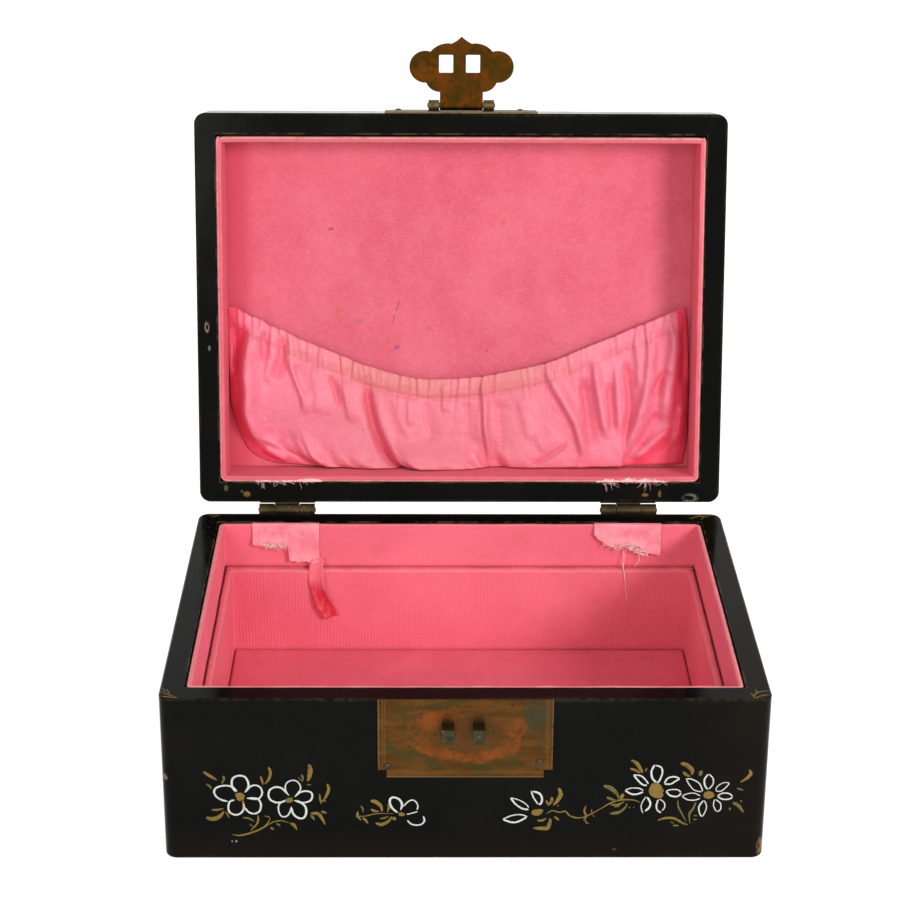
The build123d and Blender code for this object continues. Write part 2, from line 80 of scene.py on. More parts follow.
# The strip inside the lid's front has come loose and stands off its board.
LOOSE_STRIP = 1.2


# Camera, fitted to the corners and edges of the box in the photograph: its place in metres, its turns to
# the right, down and about its own axis in degrees, and its lens and sensor in millimetres
CAMERA_PLACE = Vector((-0.01568, -0.87339, 0.49962))
CAMERA_TURNS = (0.653, 22.338, 0.329)
LENS = 91.26
SENSOR = 36.0
# Pixels along a side of the photograph
PHOTO = 900


def camera_axes():
    """Directions to the camera's right, up and ahead."""
    yaw, pitch, roll = (math.radians(a) for a in CAMERA_TURNS)
    right = Vector((math.cos(yaw), -math.sin(yaw), 0))
    ahead = Vector((math.sin(yaw) * math.cos(pitch), math.cos(yaw) * math.cos(pitch), -math.sin(pitch)))
    up = right.cross(ahead)
    rolled_right = math.cos(roll) * right + math.sin(roll) * up
    rolled_up = math.cos(roll) * up - math.sin(roll) * right
    return rolled_right, rolled_up, ahead


def on_lid(pixel, level):
    """Where a pixel of the photograph lies on a level of the lid, to a tenth of a millimetre."""
    right, up, ahead = camera_axes()
    reach = LENS / SENSOR * PHOTO
    ray = ahead + right * (pixel[0] - PHOTO / 2) / reach - up * (pixel[1] - PHOTO / 2) / reach
    closed = LID_OPEN.inverted()
    start = closed @ CAMERA_PLACE
    run = closed.to_3x3() @ ray
    place = start + run * ((level * MM - start.z) / run.z)
    return round(place.x / MM, 1), round(HALF_DEPTH - place.y / MM, 1)


# Sizes and colours

def length_setting(name, description, default, smallest):
    """A length that a user may change, from its default and its least value in millimetres."""
    return FloatProperty(name=name, description=description, default=default * MM, min=smallest * MM,
                         unit="LENGTH", precision=5)


def colour_setting(name, description, colour):
    """A colour that a user may change."""
    return FloatVectorProperty(name=name, description=description, subtype="COLOR", size=4,
                               default=colour + (1.0,), min=0.0, max=1.0)


class BoxSizes(bpy.types.PropertyGroup):
    """Sizes of the cloth, the paint and the nails."""
    rib_pitch: length_setting("Rib Pitch", "Distance between the ribs of the cloth on the ledge strips", 1.45,
                              0.5)
    satin: length_setting("Satin", "Thickness of the pocket's satin", 0.4, 0.1)
    torn_cloth: length_setting("Torn Cloth", "Thickness of the torn cloth ends", 0.45, 0.1)
    thread: length_setting("Thread", "Radius of a loose thread", 0.13, 0.03)
    paint: length_setting("Paint", "Height of the painted strokes above the lacquer", 0.06, 0.01)
    nail_head: length_setting("Nail Head", "Radius of a nail's head", 1.5, 0.5)
    nail_dome: length_setting("Nail Dome", "Height of a nail's domed head", 0.7, 0.2)
    stitch: length_setting("Stitch", "Length of one stitch along the pocket's casing", 1.9, 0.5)
    stitches: IntProperty(
        name="Stitches", description="Number of stitches along the pocket's casing",
        default=74, min=10)


class BoxColours(bpy.types.PropertyGroup):
    """Colours of the lacquer, the cloth, the brass and the paint."""
    lacquer: colour_setting("Lacquer", "Black lacquer", (0.0026, 0.0028, 0.0024))
    worn_lacquer: colour_setting("Worn Lacquer", "Lacquer worn brown at the edges", (0.034, 0.024, 0.014))
    lining: colour_setting("Lining", "Pink cloth on the linings", (0.84, 0.155, 0.215))
    satin: colour_setting("Satin", "Pink satin of the pocket", (0.84, 0.185, 0.270))
    brass: colour_setting("Brass", "Tarnished brass of the hasp", (0.052, 0.025, 0.0035))
    plate: colour_setting("Plate", "Copper-brown of the lock plate", (0.112, 0.046, 0.011))
    white_paint: colour_setting("White Paint", "White of the painted petals", (0.62, 0.63, 0.58))
    gold_paint: colour_setting("Gold Paint", "Ochre of the painted leaves and stems", (0.20, 0.125, 0.016))


# Mesh helpers

def mesh_object(name, vertices, faces, turn=IN_PLACE, uvs=None, smooth=True):
    """A piece from points in metres, turned into its place, with a UV map in metres where it has one."""
    mesh = bpy.data.meshes.new(name)
    mesh.from_pydata([tuple(turn @ Vector(v)) for v in vertices], [], faces)
    if uvs is not None:
        layer = mesh.uv_layers.new(name="cloth")
        for loop in mesh.loops:
            layer.data[loop.index].uv = uvs[loop.vertex_index]
    if smooth:
        mesh.shade_smooth()
    mesh.update()
    made = bpy.data.objects.new(name, mesh)
    bpy.context.scene.collection.objects.link(made)
    return made


def recalculate(piece):
    """Merge doubles and make every face point outwards."""
    work = bmesh.new()
    work.from_mesh(piece.data)
    bmesh.ops.remove_doubles(work, verts=work.verts, dist=1e-7)
    bmesh.ops.recalc_face_normals(work, faces=work.faces)
    work.to_mesh(piece.data)
    work.free()


def grid_faces(columns, rows, first=0):
    """Quads of a grid of points stored row by row."""
    faces = []
    for j in range(rows - 1):
        for i in range(columns - 1):
            a = first + j * columns + i
            faces.append((a, a + 1, a + columns + 1, a + columns))
    return faces


def grid_border(columns, rows):
    """Points around the edge of a grid, in the order in which they follow each other."""
    return (list(range(columns)) + [j * columns + columns - 1 for j in range(1, rows)]
            + [(rows - 1) * columns + i for i in range(columns - 2, -1, -1)]
            + [j * columns for j in range(rows - 2, 0, -1)])


def thicken(piece, thickness):
    """Give a sheet of cloth its thickness, half of it on either side."""
    wall = piece.modifiers.new("cloth", "SOLIDIFY")
    wall.thickness = thickness
    wall.offset = 0.0


def point_values(piece, name, values):
    """Keep a value at each point of a piece, for its material to read."""
    layer = piece.data.attributes.new(name, "FLOAT", "POINT")
    layer.data.foreach_set("value", np.asarray(values, dtype=np.float32).reshape(-1))


def swept(rings, closed_ends=True):
    """Vertices and faces of a closed section carried along a path, one ring of points a station."""
    count = len(rings[0])
    vertices = [p for ring in rings for p in ring]
    faces = []
    for j in range(len(rings) - 1):
        for i in range(count):
            a, b = j * count + i, j * count + (i + 1) % count
            faces.append((a, b, b + count, a + count))
    if closed_ends:
        faces.append(tuple(reversed(range(count))))
        faces.append(tuple(range((len(rings) - 1) * count, len(rings) * count)))
    return vertices, faces


def curve_through(points, steps=8, closed=False):
    """A smooth line through the given points, as a finer list of points."""
    points = [Vector(p) for p in points]
    count = len(points)
    line = []
    spans = count if closed else count - 1
    for k in range(spans):
        if closed:
            p0, p1, p2, p3 = (points[(k + n) % count] for n in (-1, 0, 1, 2))
        else:
            p0 = points[max(k - 1, 0)]
            p1, p2 = points[k], points[k + 1]
            p3 = points[min(k + 2, count - 1)]
        for n in range(steps):
            t = n / steps
            line.append(0.5 * (2 * p1 + (p2 - p0) * t + (2 * p0 - 5 * p1 + 4 * p2 - p3) * t * t
                               + (3 * p1 - p0 - 3 * p2 + p3) * t ** 3))
    line.append(points[0].copy() if closed else points[-1].copy())
    return line


def value_along(pairs, x):
    """A height read from a list of (place, value) pairs, smoothed between them."""
    places = [p for p, v in pairs]
    values = [v for p, v in pairs]
    x = min(max(x, places[0]), places[-1])
    k = max(n for n in range(len(places)) if places[n] <= x)
    if k == len(places) - 1:
        return values[-1]
    t = (x - places[k]) / (places[k + 1] - places[k])
    t = t * t * (3 - 2 * t)
    return values[k] + (values[k + 1] - values[k]) * t


def tube(points, radius, sides=6, taper=0.35):
    """A round thread along a line of points, thinner towards its ends."""
    points = [Vector(p) for p in points]
    rings = []
    side = Vector((0.31, 0.87, 0.38))
    for k, point in enumerate(points):
        along = (points[min(k + 1, len(points) - 1)] - points[max(k - 1, 0)]).normalized()
        side = (side - along * side.dot(along)).normalized()
        other = along.cross(side)
        t = k / (len(points) - 1)
        r = radius * (taper + (1 - taper) * math.sin(math.pi * min(max(t, 0.06), 0.94)) ** 0.4)
        rings.append([point + r * (math.cos(a) * side + math.sin(a) * other)
                      for a in (2 * math.pi * n / sides for n in range(sides))])
    return swept(rings)


def gathered_mesh(name, parts, turn=IN_PLACE, smooth=True):
    """Several meshes in one piece."""
    vertices, faces = [], []
    for some, more in parts:
        first = len(vertices)
        vertices += list(some)
        faces += [tuple(first + n for n in face) for face in more]
    piece = mesh_object(name, vertices, faces, turn, smooth=smooth)
    recalculate(piece)
    return piece


# Material helpers

class Wiring:
    """A material with short calls that add nodes to it."""

    def __init__(self, name):
        self.material = bpy.data.materials.new(name)
        self.material.use_nodes = True
        self.tree = self.material.node_tree
        self.shader = self.tree.nodes["Principled BSDF"]

    def node(self, kind, sources=None, **settings):
        made = self.tree.nodes.new("ShaderNode" + kind)
        for key, value in settings.items():
            label = key.replace("_", " ")
            if label in made.inputs:
                made.inputs[label].default_value = value
            else:
                setattr(made, key, value)
        for key, socket in (sources or {}).items():
            self.tree.links.new(socket, made.inputs[key])
        return made

    def maths(self, operation, *values):
        made = self.tree.nodes.new("ShaderNodeMath")
        made.operation = operation
        for place, value in enumerate(values):
            if isinstance(value, (int, float)):
                made.inputs[place].default_value = value
            else:
                self.tree.links.new(value, made.inputs[place])
        return made.outputs[0]

    def times(self, one, other):
        return self.maths("MULTIPLY", one, other)

    def plus(self, one, other):
        return self.maths("ADD", one, other)

    def minus(self, one, other):
        return self.maths("SUBTRACT", one, other)

    def rest(self, value):
        """What is left of 1."""
        return self.minus(1.0, value)

    def ramp(self, source, low, high, smooth=True):
        """0 below low, 1 above high."""
        made = self.node("MapRange", {"Value": source}, From_Min=low, From_Max=high)
        made.clamp = True
        made.interpolation_type = "SMOOTHSTEP" if smooth else "LINEAR"
        return made.outputs["Result"]

    def mix(self, factor, one, other):
        made = self.tree.nodes.new("ShaderNodeMix")
        made.data_type = "RGBA"
        for place, value in ((0, factor), (6, one), (7, other)):
            if isinstance(value, bpy.types.NodeSocket):
                self.tree.links.new(value, made.inputs[place])
            elif place == 0:
                made.inputs[place].default_value = value
            else:
                made.inputs[place].default_value = tuple(value)[:3] + (1.0,)
        return made.outputs[2]

    def noise(self, vector, scale, detail=3.0, roughness=0.55, distortion=0.0):
        made = self.node("TexNoise", {"Vector": vector}, Scale=scale, Detail=detail, Roughness=roughness,
                         Distortion=distortion)
        return made.outputs[0]

    def place(self, turned=False, scale=(1, 1, 1)):
        """Object coordinates, brought back to the closed lid's frame for a piece of the open lid."""
        source = self.node("TexCoord").outputs["Object"]
        if turned:
            back = LID_OPEN.inverted()
            source = self.node("Mapping", {"Vector": source}, Location=back.to_translation(),
                               Rotation=back.to_euler()).outputs[0]
        if scale != (1, 1, 1):
            source = self.node("Mapping", {"Vector": source}, Scale=scale).outputs[0]
        return source

    def split(self, vector):
        return self.node("SeparateXYZ", {"Vector": vector}).outputs

    def bump(self, height, strength, distance, normal=None):
        sources = {"Height": height}
        if normal is not None:
            sources["Normal"] = normal
        return self.node("Bump", sources, Strength=strength, Distance=distance).outputs[0]

    def spot(self, u, v, centre, reach, soft=0.4):
        """1 inside a soft ellipse whose middle and half sizes are in millimetres."""
        a = self.maths("DIVIDE", self.minus(u, centre[0] * MM), reach[0] * MM)
        b = self.maths("DIVIDE", self.minus(v, centre[1] * MM), reach[1] * MM)
        radius = self.maths("SQRT", self.plus(self.times(a, a), self.times(b, b)))
        return self.rest(self.ramp(radius, 1 - soft, 1 + soft))

    def link(self, source, name):
        self.tree.links.new(source, self.shader.inputs[name])

    def set(self, **values):
        for key, value in values.items():
            self.shader.inputs[key.replace("_", " ")].default_value = value


def colours():
    return bpy.context.scene.jewelry_box_colours


def sizes():
    return bpy.context.scene.jewelry_box_sizes


def shade(colour, factor):
    """A lighter or darker version of a colour."""
    return tuple(min(c * factor, 1.0) for c in tuple(colour)[:3]) + (1.0,)


# Chips and marks: middle and half sizes in millimetres on the lid's rim or on the base's front, colour, and
# whether only the outline shows
LID_CHIPS = (
    ((-115.5, 7.7), (1.0, 2.3), (0.42, 0.25, 0.20), True),
    ((-98.3, 85.3), (1.5, 1.2), (0.26, 0.14, 0.03), False),
    ((-107.9, 82.4), (0.9, 1.4), (0.10, 0.11, 0.05), False),
    ((106.6, 87.0), (3.2, 1.9), (0.22, 0.24, 0.17), True),
    ((85.7, 85.5), (1.4, 0.8), (0.26, 0.15, 0.06), False),
    ((92.5, 85.0), (0.7, 1.5), (0.20, 0.13, 0.06), False),
    ((-114.6, 17.4), (0.6, 1.2), (0.14, 0.16, 0.12), False),
    ((-100.6, 84.0), (0.7, 0.7), (0.05, 0.10, 0.03), False),
)
BASE_CHIPS = (
    ((118.4, 5.2), (1.3, 3.6), (0.22, 0.12, 0.05), False),
    ((-118.6, 37.0), (1.0, 1.3), (0.30, 0.18, 0.10), False),
    ((-91.2, 8.2), (0.5, 0.5), (0.25, 0.25, 0.25), False),
    ((60.0, 4.4), (0.9, 0.4), (0.10, 0.05, 0.02), False),
)


def lacquer_finish(name, turned, low, high):
    """Black lacquer over wood: deep and even, worn brown and dull along the edges of the case."""
    wire = Wiring(name)
    place = wire.place(turned)
    x, y, z = wire.split(place)
    across = wire.minus(HALF_WIDTH * MM, wire.maths("ABSOLUTE", x))
    along = wire.minus(HALF_DEPTH * MM, wire.maths("ABSOLUTE", y))
    up = wire.maths("MINIMUM", wire.minus(z, low * MM), wire.minus(high * MM, z))
    near = wire.maths("MAXIMUM", wire.maths("MINIMUM", across, along),
                      wire.maths("MINIMUM", wire.maths("MAXIMUM", across, along), up))
    clouds = wire.noise(place, 26.0, 4.0)
    fine = wire.noise(place, 420.0, 3.0)
    ragged = wire.plus(near, wire.times(wire.minus(clouds, 0.5), -0.0036))
    edge = wire.rest(wire.ramp(ragged, 0.0002, 0.0014))
    edge = wire.times(edge, wire.ramp(fine, 0.30, 0.62))
    base = wire.mix(wire.ramp(clouds, 0.42, 0.72), colours().lacquer, (0.0050, 0.0046, 0.0032))
    if not turned:
        right = wire.ramp(wire.plus(x, wire.times(clouds, 0.05)), 0.09, 0.155)
        foot = wire.rest(wire.ramp(wire.plus(z, wire.times(clouds, 0.012)), 0.006, 0.022))
        brown = wire.times(wire.maths("MAXIMUM", right, foot), 0.5)
        base = wire.mix(brown, base, (0.011, 0.0066, 0.0034))
    specks = wire.ramp(wire.noise(place, 1500.0, 1.0), 0.74, 0.80)
    base = wire.mix(wire.times(specks, 0.35), base, (0.06, 0.055, 0.04))
    if not turned:
        rear_left = wire.times(wire.ramp(y, -0.02, 0.08), wire.ramp(wire.times(x, -1.0), 0.100, 0.112))
        dust = wire.times(rear_left, wire.ramp(wire.noise(place, 800.0, 4.0, 0.7), 0.56, 0.70))
        base = wire.mix(wire.times(dust, 0.7), base, (0.095, 0.088, 0.066))
        rear = wire.times(wire.ramp(y, 0.0855, 0.0875), wire.ramp(z, 0.0690, 0.0715))
        rear = wire.times(rear, wire.ramp(wire.noise(place, 60.0, 4.0, 0.7), 0.34, 0.66))
        base = wire.mix(wire.times(rear, 0.8), base, (0.024, 0.0105, 0.0075))
    base = wire.mix(wire.times(edge, 0.6), base, colours().worn_lacquer)
    # bare wood along the inner edge of the rim
    inner = wire.maths("MAXIMUM", wire.minus(wire.maths("ABSOLUTE", x), INNER_X * MM),
                       wire.minus(wire.maths("ABSOLUTE", y), INNER_Y * MM))
    rim = wire.minus(z, low * MM) if turned else wire.minus(high * MM, z)
    bare = wire.times(wire.rest(wire.ramp(inner, 0.0002, 0.0009)), wire.rest(wire.ramp(rim, 0.0003, 0.0010)))
    bare = wire.times(bare, wire.ramp(wire.noise(place, 120.0, 4.0, 0.65), 0.44, 0.62))
    base = wire.mix(wire.times(bare, 0.5), base, (0.15, 0.085, 0.038))
    for centre, reach, colour, ring in LID_CHIPS if turned else BASE_CHIPS:
        if turned:
            mark = wire.times(wire.spot(x, y, centre, reach), wire.rest(wire.ramp(rim, 0.002, 0.004)))
        else:
            mark = wire.times(wire.spot(x, z, centre, reach), wire.rest(wire.ramp(y, -0.083, -0.076)))
        if ring:
            hole = wire.spot(x, y, centre, [0.62 * side for side in reach])
            mark = wire.times(mark, wire.rest(hole))
        mark = wire.times(mark, wire.ramp(fine, 0.30, 0.52))
        base = wire.mix(wire.times(mark, 0.8), base, colour)
    wire.link(base, "Base Color")
    smears = wire.noise(wire.place(turned, (1.0, 1.0, 3.0)), 38.0, 5.0, 0.6)
    rough = wire.plus(wire.times(wire.ramp(smears, 0.35, 0.75), 0.14), 0.10)
    rough = wire.plus(rough, wire.times(edge, 0.22))
    wire.link(rough, "Roughness")
    ripple = wire.plus(wire.noise(place, 95.0, 2.0), wire.times(fine, 0.25))
    wire.link(wire.bump(ripple, 0.10, 0.00025), "Normal")
    wire.set(Specular_IOR_Level=0.045)
    return wire.material


# Stains on the cloth of the lid's panel: middle and half sizes in millimetres, and colour
PANEL_MARKS = (
    ((-29.3, 20.3), (1.3, 0.9), (0.16, 0.10, 0.42)), ((-14.3, 11.3), (0.9, 0.9), (0.30, 0.16, 0.36)),
    ((-57.8, 3.4), (2.1, 1.2), (0.62, 0.20, 0.07)), ((-59.9, -34.9), (1.2, 0.6), (0.20, 0.06, 0.05)),
    ((12.9, 22.1), (0.5, 0.5), (0.20, 0.05, 0.03)), ((14.2, 16.9), (0.4, 0.5), (0.25, 0.07, 0.04)),
    ((20.0, -38.0), (1.1, 1.6), (0.66, 0.19, 0.08)), ((-47.0, 8.0), (1.6, 1.0), (0.45, 0.20, 0.30)),
)


def cloth_finish(name, turned, ribs=False, soiled=0.25, tone=1.0, marked=False, faded=0.0):
    """Plain woven cloth glued on card: fine weave, uneven threads, faint dirt, ribs on the ledge strips."""
    wire = Wiring(name)
    uv = wire.node("TexCoord").outputs["UV"]
    across = wire.split(uv)
    u, v = across["X"], across["Y"]
    warp = wire.maths("SINE", wire.times(u, 2 * math.pi / 0.00062))
    weft = wire.maths("SINE", wire.times(v, 2 * math.pi / 0.00062))
    weave = wire.times(warp, weft)
    long_u = wire.node("Mapping", {"Vector": uv}, Scale=(0.22, 1.0, 1.0)).outputs[0]
    long_v = wire.node("Mapping", {"Vector": uv}, Scale=(1.0, 0.22, 1.0)).outputs[0]
    slubs = wire.noise(long_u, 1250.0, 3.0, 0.6)
    cross_slubs = wire.noise(long_v, 1250.0, 2.0, 0.6)
    threads = wire.plus(wire.times(slubs, 0.65), wire.times(cross_slubs, 0.35))
    place = wire.place()
    clouds = wire.noise(place, 22.0, 4.0, 0.6)
    dirt = wire.ramp(wire.noise(place, 70.0, 5.0, 0.65), 0.56, 0.78)
    pink = shade(colours().lining, tone)
    pale = (min(pink[0] * 1.06, 1.0), pink[1] * 1.45, pink[2] * 1.35)
    deep = (pink[0] * 0.86, pink[1] * 0.66, pink[2] * 0.72)
    base = wire.mix(wire.ramp(clouds, 0.3, 0.72), deep, pink)
    base = wire.mix(wire.ramp(threads, 0.34, 0.66), wire.mix(0.26, base, deep), wire.mix(0.22, base, pale))
    base = wire.mix(faded, base, (0.93, 0.30, 0.39))
    base = wire.mix(wire.times(dirt, soiled), base, (0.52, 0.14, 0.10))
    height = wire.plus(wire.times(threads, 1.4), wire.times(weave, 0.12))
    if ribs:
        wander = wire.times(wire.noise(uv, 90.0, 3.0, 0.6), 0.0015)
        phase = wire.times(wire.plus(u, wander), 2 * math.pi / sizes().rib_pitch)
        rib = wire.plus(wire.times(wire.maths("SINE", phase), 0.5), 0.5)
        patchy = wire.ramp(wire.noise(uv, 75.0, 4.0, 0.65), 0.38, 0.62)
        rib = wire.times(rib, wire.plus(wire.times(patchy, 0.85), 0.15))
        base = wire.mix(wire.times(rib, 0.2), base, pale)
        height = wire.plus(height, wire.times(rib, 1.5))
    bare = wire.node("Attribute", attribute_name="worn_edge").outputs["Fac"]
    bare = wire.times(bare, wire.ramp(wire.noise(place, 320.0, 4.0, 0.65), 0.25, 0.55))
    base = wire.mix(wire.times(bare, 0.66), base, (0.82, 0.46, 0.34))
    grime = wire.times(bare, wire.ramp(wire.noise(place, 130.0, 3.0), 0.55, 0.70))
    base = wire.mix(wire.times(grime, 0.5), base, (0.36, 0.16, 0.08))
    if marked:
        marks = wire.split(wire.place(turned))
        mark_x, mark_y = marks["X"], marks["Y"]
        patches = wire.ramp(wire.noise(place, 85.0, 6.0, 0.72), 0.40, 0.66)
        base = wire.mix(wire.times(patches, 0.2), base, (0.84, 0.235, 0.315))
        grain = wire.ramp(wire.noise(place, 1500.0, 3.0, 0.7), 0.46, 0.70)
        base = wire.mix(wire.times(grain, 0.34), base, (0.86, 0.28, 0.35))
        # Painted shade: a deep red band down the left side of the panel, beside the left wall.
        edge = wire.plus(mark_x, wire.times(wire.noise(place, 30.0, 3.0), 0.004))
        band = wire.rest(wire.ramp(edge, -0.0995, -0.0925))
        base = wire.mix(wire.times(band, 0.75), base, (0.66, 0.085, 0.140))
        for centre, reach, colour in PANEL_MARKS:
            mark = wire.times(wire.spot(mark_x, mark_y, centre, reach, 0.8),
                              wire.ramp(wire.noise(place, 420.0, 3.0), 0.34, 0.52))
            base = wire.mix(wire.times(mark, 0.62), base, shade(colour, 0.75))
        off = wire.plus(mark_x, wire.times(wire.minus(mark_y, 0.0021), 0.302))
        off = wire.plus(off, wire.times(wire.noise(place, 260.0, 2.0), 0.0022))
        crack = wire.spot(off, mark_y, (-28.2, 2.1), (0.45, 7.9), 0.3)
        crack = wire.times(crack, wire.ramp(wire.noise(place, 300.0, 3.0), 0.42, 0.56))
        base = wire.mix(wire.times(crack, 0.6), base, (0.30, 0.09, 0.045))
    wire.link(base, "Base Color")
    wire.link(wire.bump(height, 0.55, 0.00016), "Normal")
    wire.set(Roughness=0.75, Specular_IOR_Level=0.16, Sheen_Weight=0.05, Sheen_Roughness=0.5)
    return wire.material


def satin_finish(name):
    """Pink satin: smooth and shiny, with a fine thread, faint soiling, a stained casing at the mouth and
    painted shade in its folds.
    """
    wire = Wiring(name)
    uv = wire.node("TexCoord").outputs["UV"]
    u = wire.split(uv)["X"]
    place = wire.place()
    clouds = wire.noise(place, 34.0, 4.0, 0.6)
    pink = tuple(colours().satin)
    base = wire.mix(wire.ramp(clouds, 0.30, 0.75), shade(pink, 0.9), (0.93, 0.235, 0.33))
    soil = wire.ramp(wire.noise(place, 60.0, 5.0, 0.65), 0.5, 0.72)
    band = wire.node("Attribute", attribute_name="casing").outputs["Fac"]
    middle = wire.rest(wire.ramp(wire.maths("ABSOLUTE", wire.plus(u, 0.008)), 0.03, 0.085))
    stain = wire.plus(wire.times(soil, 0.34), wire.times(middle, 0.34))
    base = wire.mix(wire.times(band, stain), base, (0.68, 0.26, 0.19))
    seam = wire.node("Attribute", attribute_name="gather").outputs["Fac"]
    seam = wire.times(seam, wire.ramp(wire.noise(place, 130.0, 3.0), 0.36, 0.66))
    base = wire.mix(wire.times(seam, 0.42), base, (0.46, 0.13, 0.10))
    worn = wire.plus(wire.times(soil, 0.16), wire.times(middle, 0.30))
    base = wire.mix(worn, base, (0.66, 0.175, 0.18))
    # Painted shade: the satin turns deep red in its folds' hollows, on its flanks beyond the outer crests and
    # near its foot.
    painted_fold_shade = wire.node("Attribute", attribute_name="painted_fold_shade").outputs["Fac"]
    base = wire.mix(wire.times(painted_fold_shade, 0.86), base, (0.84, 0.066, 0.134))
    wire.link(base, "Base Color")
    long_u = wire.node("Mapping", {"Vector": uv}, Scale=(0.07, 1.0, 1.0)).outputs[0]
    thread = wire.noise(long_u, 1900.0, 2.0)
    crumple = wire.noise(place, 130.0, 5.0, 0.66)
    first = wire.bump(crumple, 0.7, 0.0016)
    wire.link(wire.bump(thread, 0.4, 0.0001, first), "Normal")
    wire.set(Roughness=0.46, Specular_IOR_Level=0.5, Sheen_Weight=0.08, Sheen_Roughness=0.4)
    return wire.material


def torn_finish(name):
    """Limp torn cloth, paler where its threads are bare."""
    wire = Wiring(name)
    place = wire.place()
    clouds = wire.noise(place, 120.0, 4.0, 0.6)
    threads = wire.noise(wire.place(False, (1.0, 1.0, 0.08)), 2600.0, 2.0)
    base = wire.mix(wire.ramp(clouds, 0.32, 0.7), (0.86, 0.22, 0.28), (0.93, 0.35, 0.41))
    base = wire.mix(wire.times(wire.ramp(threads, 0.45, 0.75), 0.3), base, (0.92, 0.42, 0.46))
    wire.link(base, "Base Color")
    wire.link(wire.bump(wire.plus(clouds, threads), 0.5, 0.0002), "Normal")
    wire.set(Roughness=0.62, Specular_IOR_Level=0.3, Sheen_Weight=0.15, Sheen_Roughness=0.4)
    return wire.material


def plain_finish(name, light, dark, scale, rough=0.6, spread=(0.35, 0.65)):
    """Two tones of one material, mixed by an uneven pattern of the given scale."""
    wire = Wiring(name)
    place = wire.place()
    pattern = wire.noise(place, scale, 4.0, 0.6)
    wire.link(wire.mix(wire.ramp(pattern, *spread), dark, light), "Base Color")
    wire.link(wire.bump(wire.noise(place, scale * 6, 2.0), 0.3, 0.00012), "Normal")
    wire.set(Roughness=rough, Specular_IOR_Level=0.3)
    return wire.material


def brass_finish(name, base, warm, dark, turned=False, streak=(1.0, 1.0, 1.0), pale=0.25, metal=0.8):
    """Old brass: dark tarnish over warm metal, in streaks and spots, with worn bright places."""
    wire = Wiring(name)
    place = wire.place(turned, streak)
    broad = wire.noise(place, 85.0, 5.0, 0.62, 0.6)
    mottled = wire.noise(place, 300.0, 5.0, 0.65)
    tone = wire.mix(wire.ramp(broad, 0.40, 0.66), base, warm)
    tone = wire.mix(wire.ramp(mottled, 0.50, 0.74), tone, dark)
    bright = wire.ramp(wire.noise(place, 620.0, 3.0), 0.62, 0.74)
    tone = wire.mix(wire.times(bright, pale), tone, (0.42, 0.30, 0.12))
    wire.link(tone, "Base Color")
    wire.link(wire.plus(wire.times(mottled, 0.35), 0.30), "Roughness")
    wire.link(wire.bump(wire.plus(broad, mottled), 0.28, 0.00025), "Normal")
    wire.set(Metallic=metal)
    return wire.material


def lock_plate_finish(name):
    """Copper-brown plate, with orange, green and grey patina in the ghost of the hasp that lay on it."""
    wire = Wiring(name)
    place = wire.place()
    parted = wire.split(place)
    x, z = parted["X"], parted["Z"]
    streaks = wire.noise(wire.place(False, (1.0, 1.0, 5.0)), 60.0, 5.0, 0.65)
    broad = wire.noise(place, 75.0, 4.0, 0.6, 0.8)
    mottled = wire.noise(place, 240.0, 5.0, 0.66)
    brown = tuple(colours().plate)
    base = wire.mix(wire.ramp(streaks, 0.36, 0.66), shade(brown, 0.62), brown)
    base = wire.mix(wire.ramp(mottled, 0.54, 0.74), base, (0.055, 0.040, 0.012))
    # ghost of the closed hasp
    across = wire.maths("DIVIDE", wire.minus(x, 0.0012), 0.0192)
    upward = wire.maths("DIVIDE", wire.minus(z, 0.0572), 0.0100)
    radius = wire.maths("SQRT", wire.plus(wire.times(across, across), wire.times(upward, upward)))
    uneven = wire.plus(radius, wire.times(wire.minus(mottled, 0.5), 0.8))
    inside = wire.rest(wire.ramp(uneven, 0.62, 0.92))
    ring = wire.rest(wire.ramp(wire.maths("ABSOLUTE", wire.minus(uneven, 1.02)), 0.10, 0.30))
    halo = wire.rest(wire.ramp(wire.maths("ABSOLUTE", wire.minus(uneven, 1.55)), 0.12, 0.42))
    green = wire.times(halo, wire.ramp(broad, 0.44, 0.60))
    base = wire.mix(wire.times(green, 0.75), base, (0.040, 0.038, 0.010))
    base = wire.mix(wire.times(inside, 0.65), base, (0.080, 0.036, 0.010))
    base = wire.mix(wire.times(ring, wire.ramp(broad, 0.42, 0.62)), base, (0.190, 0.050, 0.010))
    grey = wire.times(wire.ramp(x, 0.010, 0.030), wire.ramp(broad, 0.50, 0.70))
    base = wire.mix(wire.times(grey, 0.7), base, (0.042, 0.038, 0.026))
    side = wire.minus(0.0344, wire.maths("ABSOLUTE", x))
    inset = wire.maths("MINIMUM", side, wire.minus(z, 0.0380))
    lines = []
    for depth in (0.0019, 0.0027):
        away = wire.maths("ABSOLUTE", wire.minus(inset, depth))
        lines.append(wire.rest(wire.ramp(away, 0.00006, 0.00024)))
    groove = wire.times(wire.maths("MAXIMUM", lines[0], lines[1]), wire.ramp(broad, 0.30, 0.46))
    base = wire.mix(wire.times(groove, 0.55), base, (0.19, 0.075, 0.014))
    rim = wire.rest(wire.ramp(inset, 0.0002, 0.0007))
    base = wire.mix(wire.times(rim, 0.5), base, (0.21, 0.13, 0.055))
    pits = wire.ramp(wire.noise(place, 520.0, 2.0), 0.66, 0.74)
    base = wire.mix(wire.times(pits, 0.7), base, (0.020, 0.012, 0.006))
    wire.link(base, "Base Color")
    wire.link(wire.plus(wire.times(mottled, 0.3), 0.30), "Roughness")
    wire.link(wire.bump(wire.minus(mottled, wire.times(pits, 0.6)), 0.3, 0.00025), "Normal")
    wire.set(Metallic=0.97)
    return wire.material


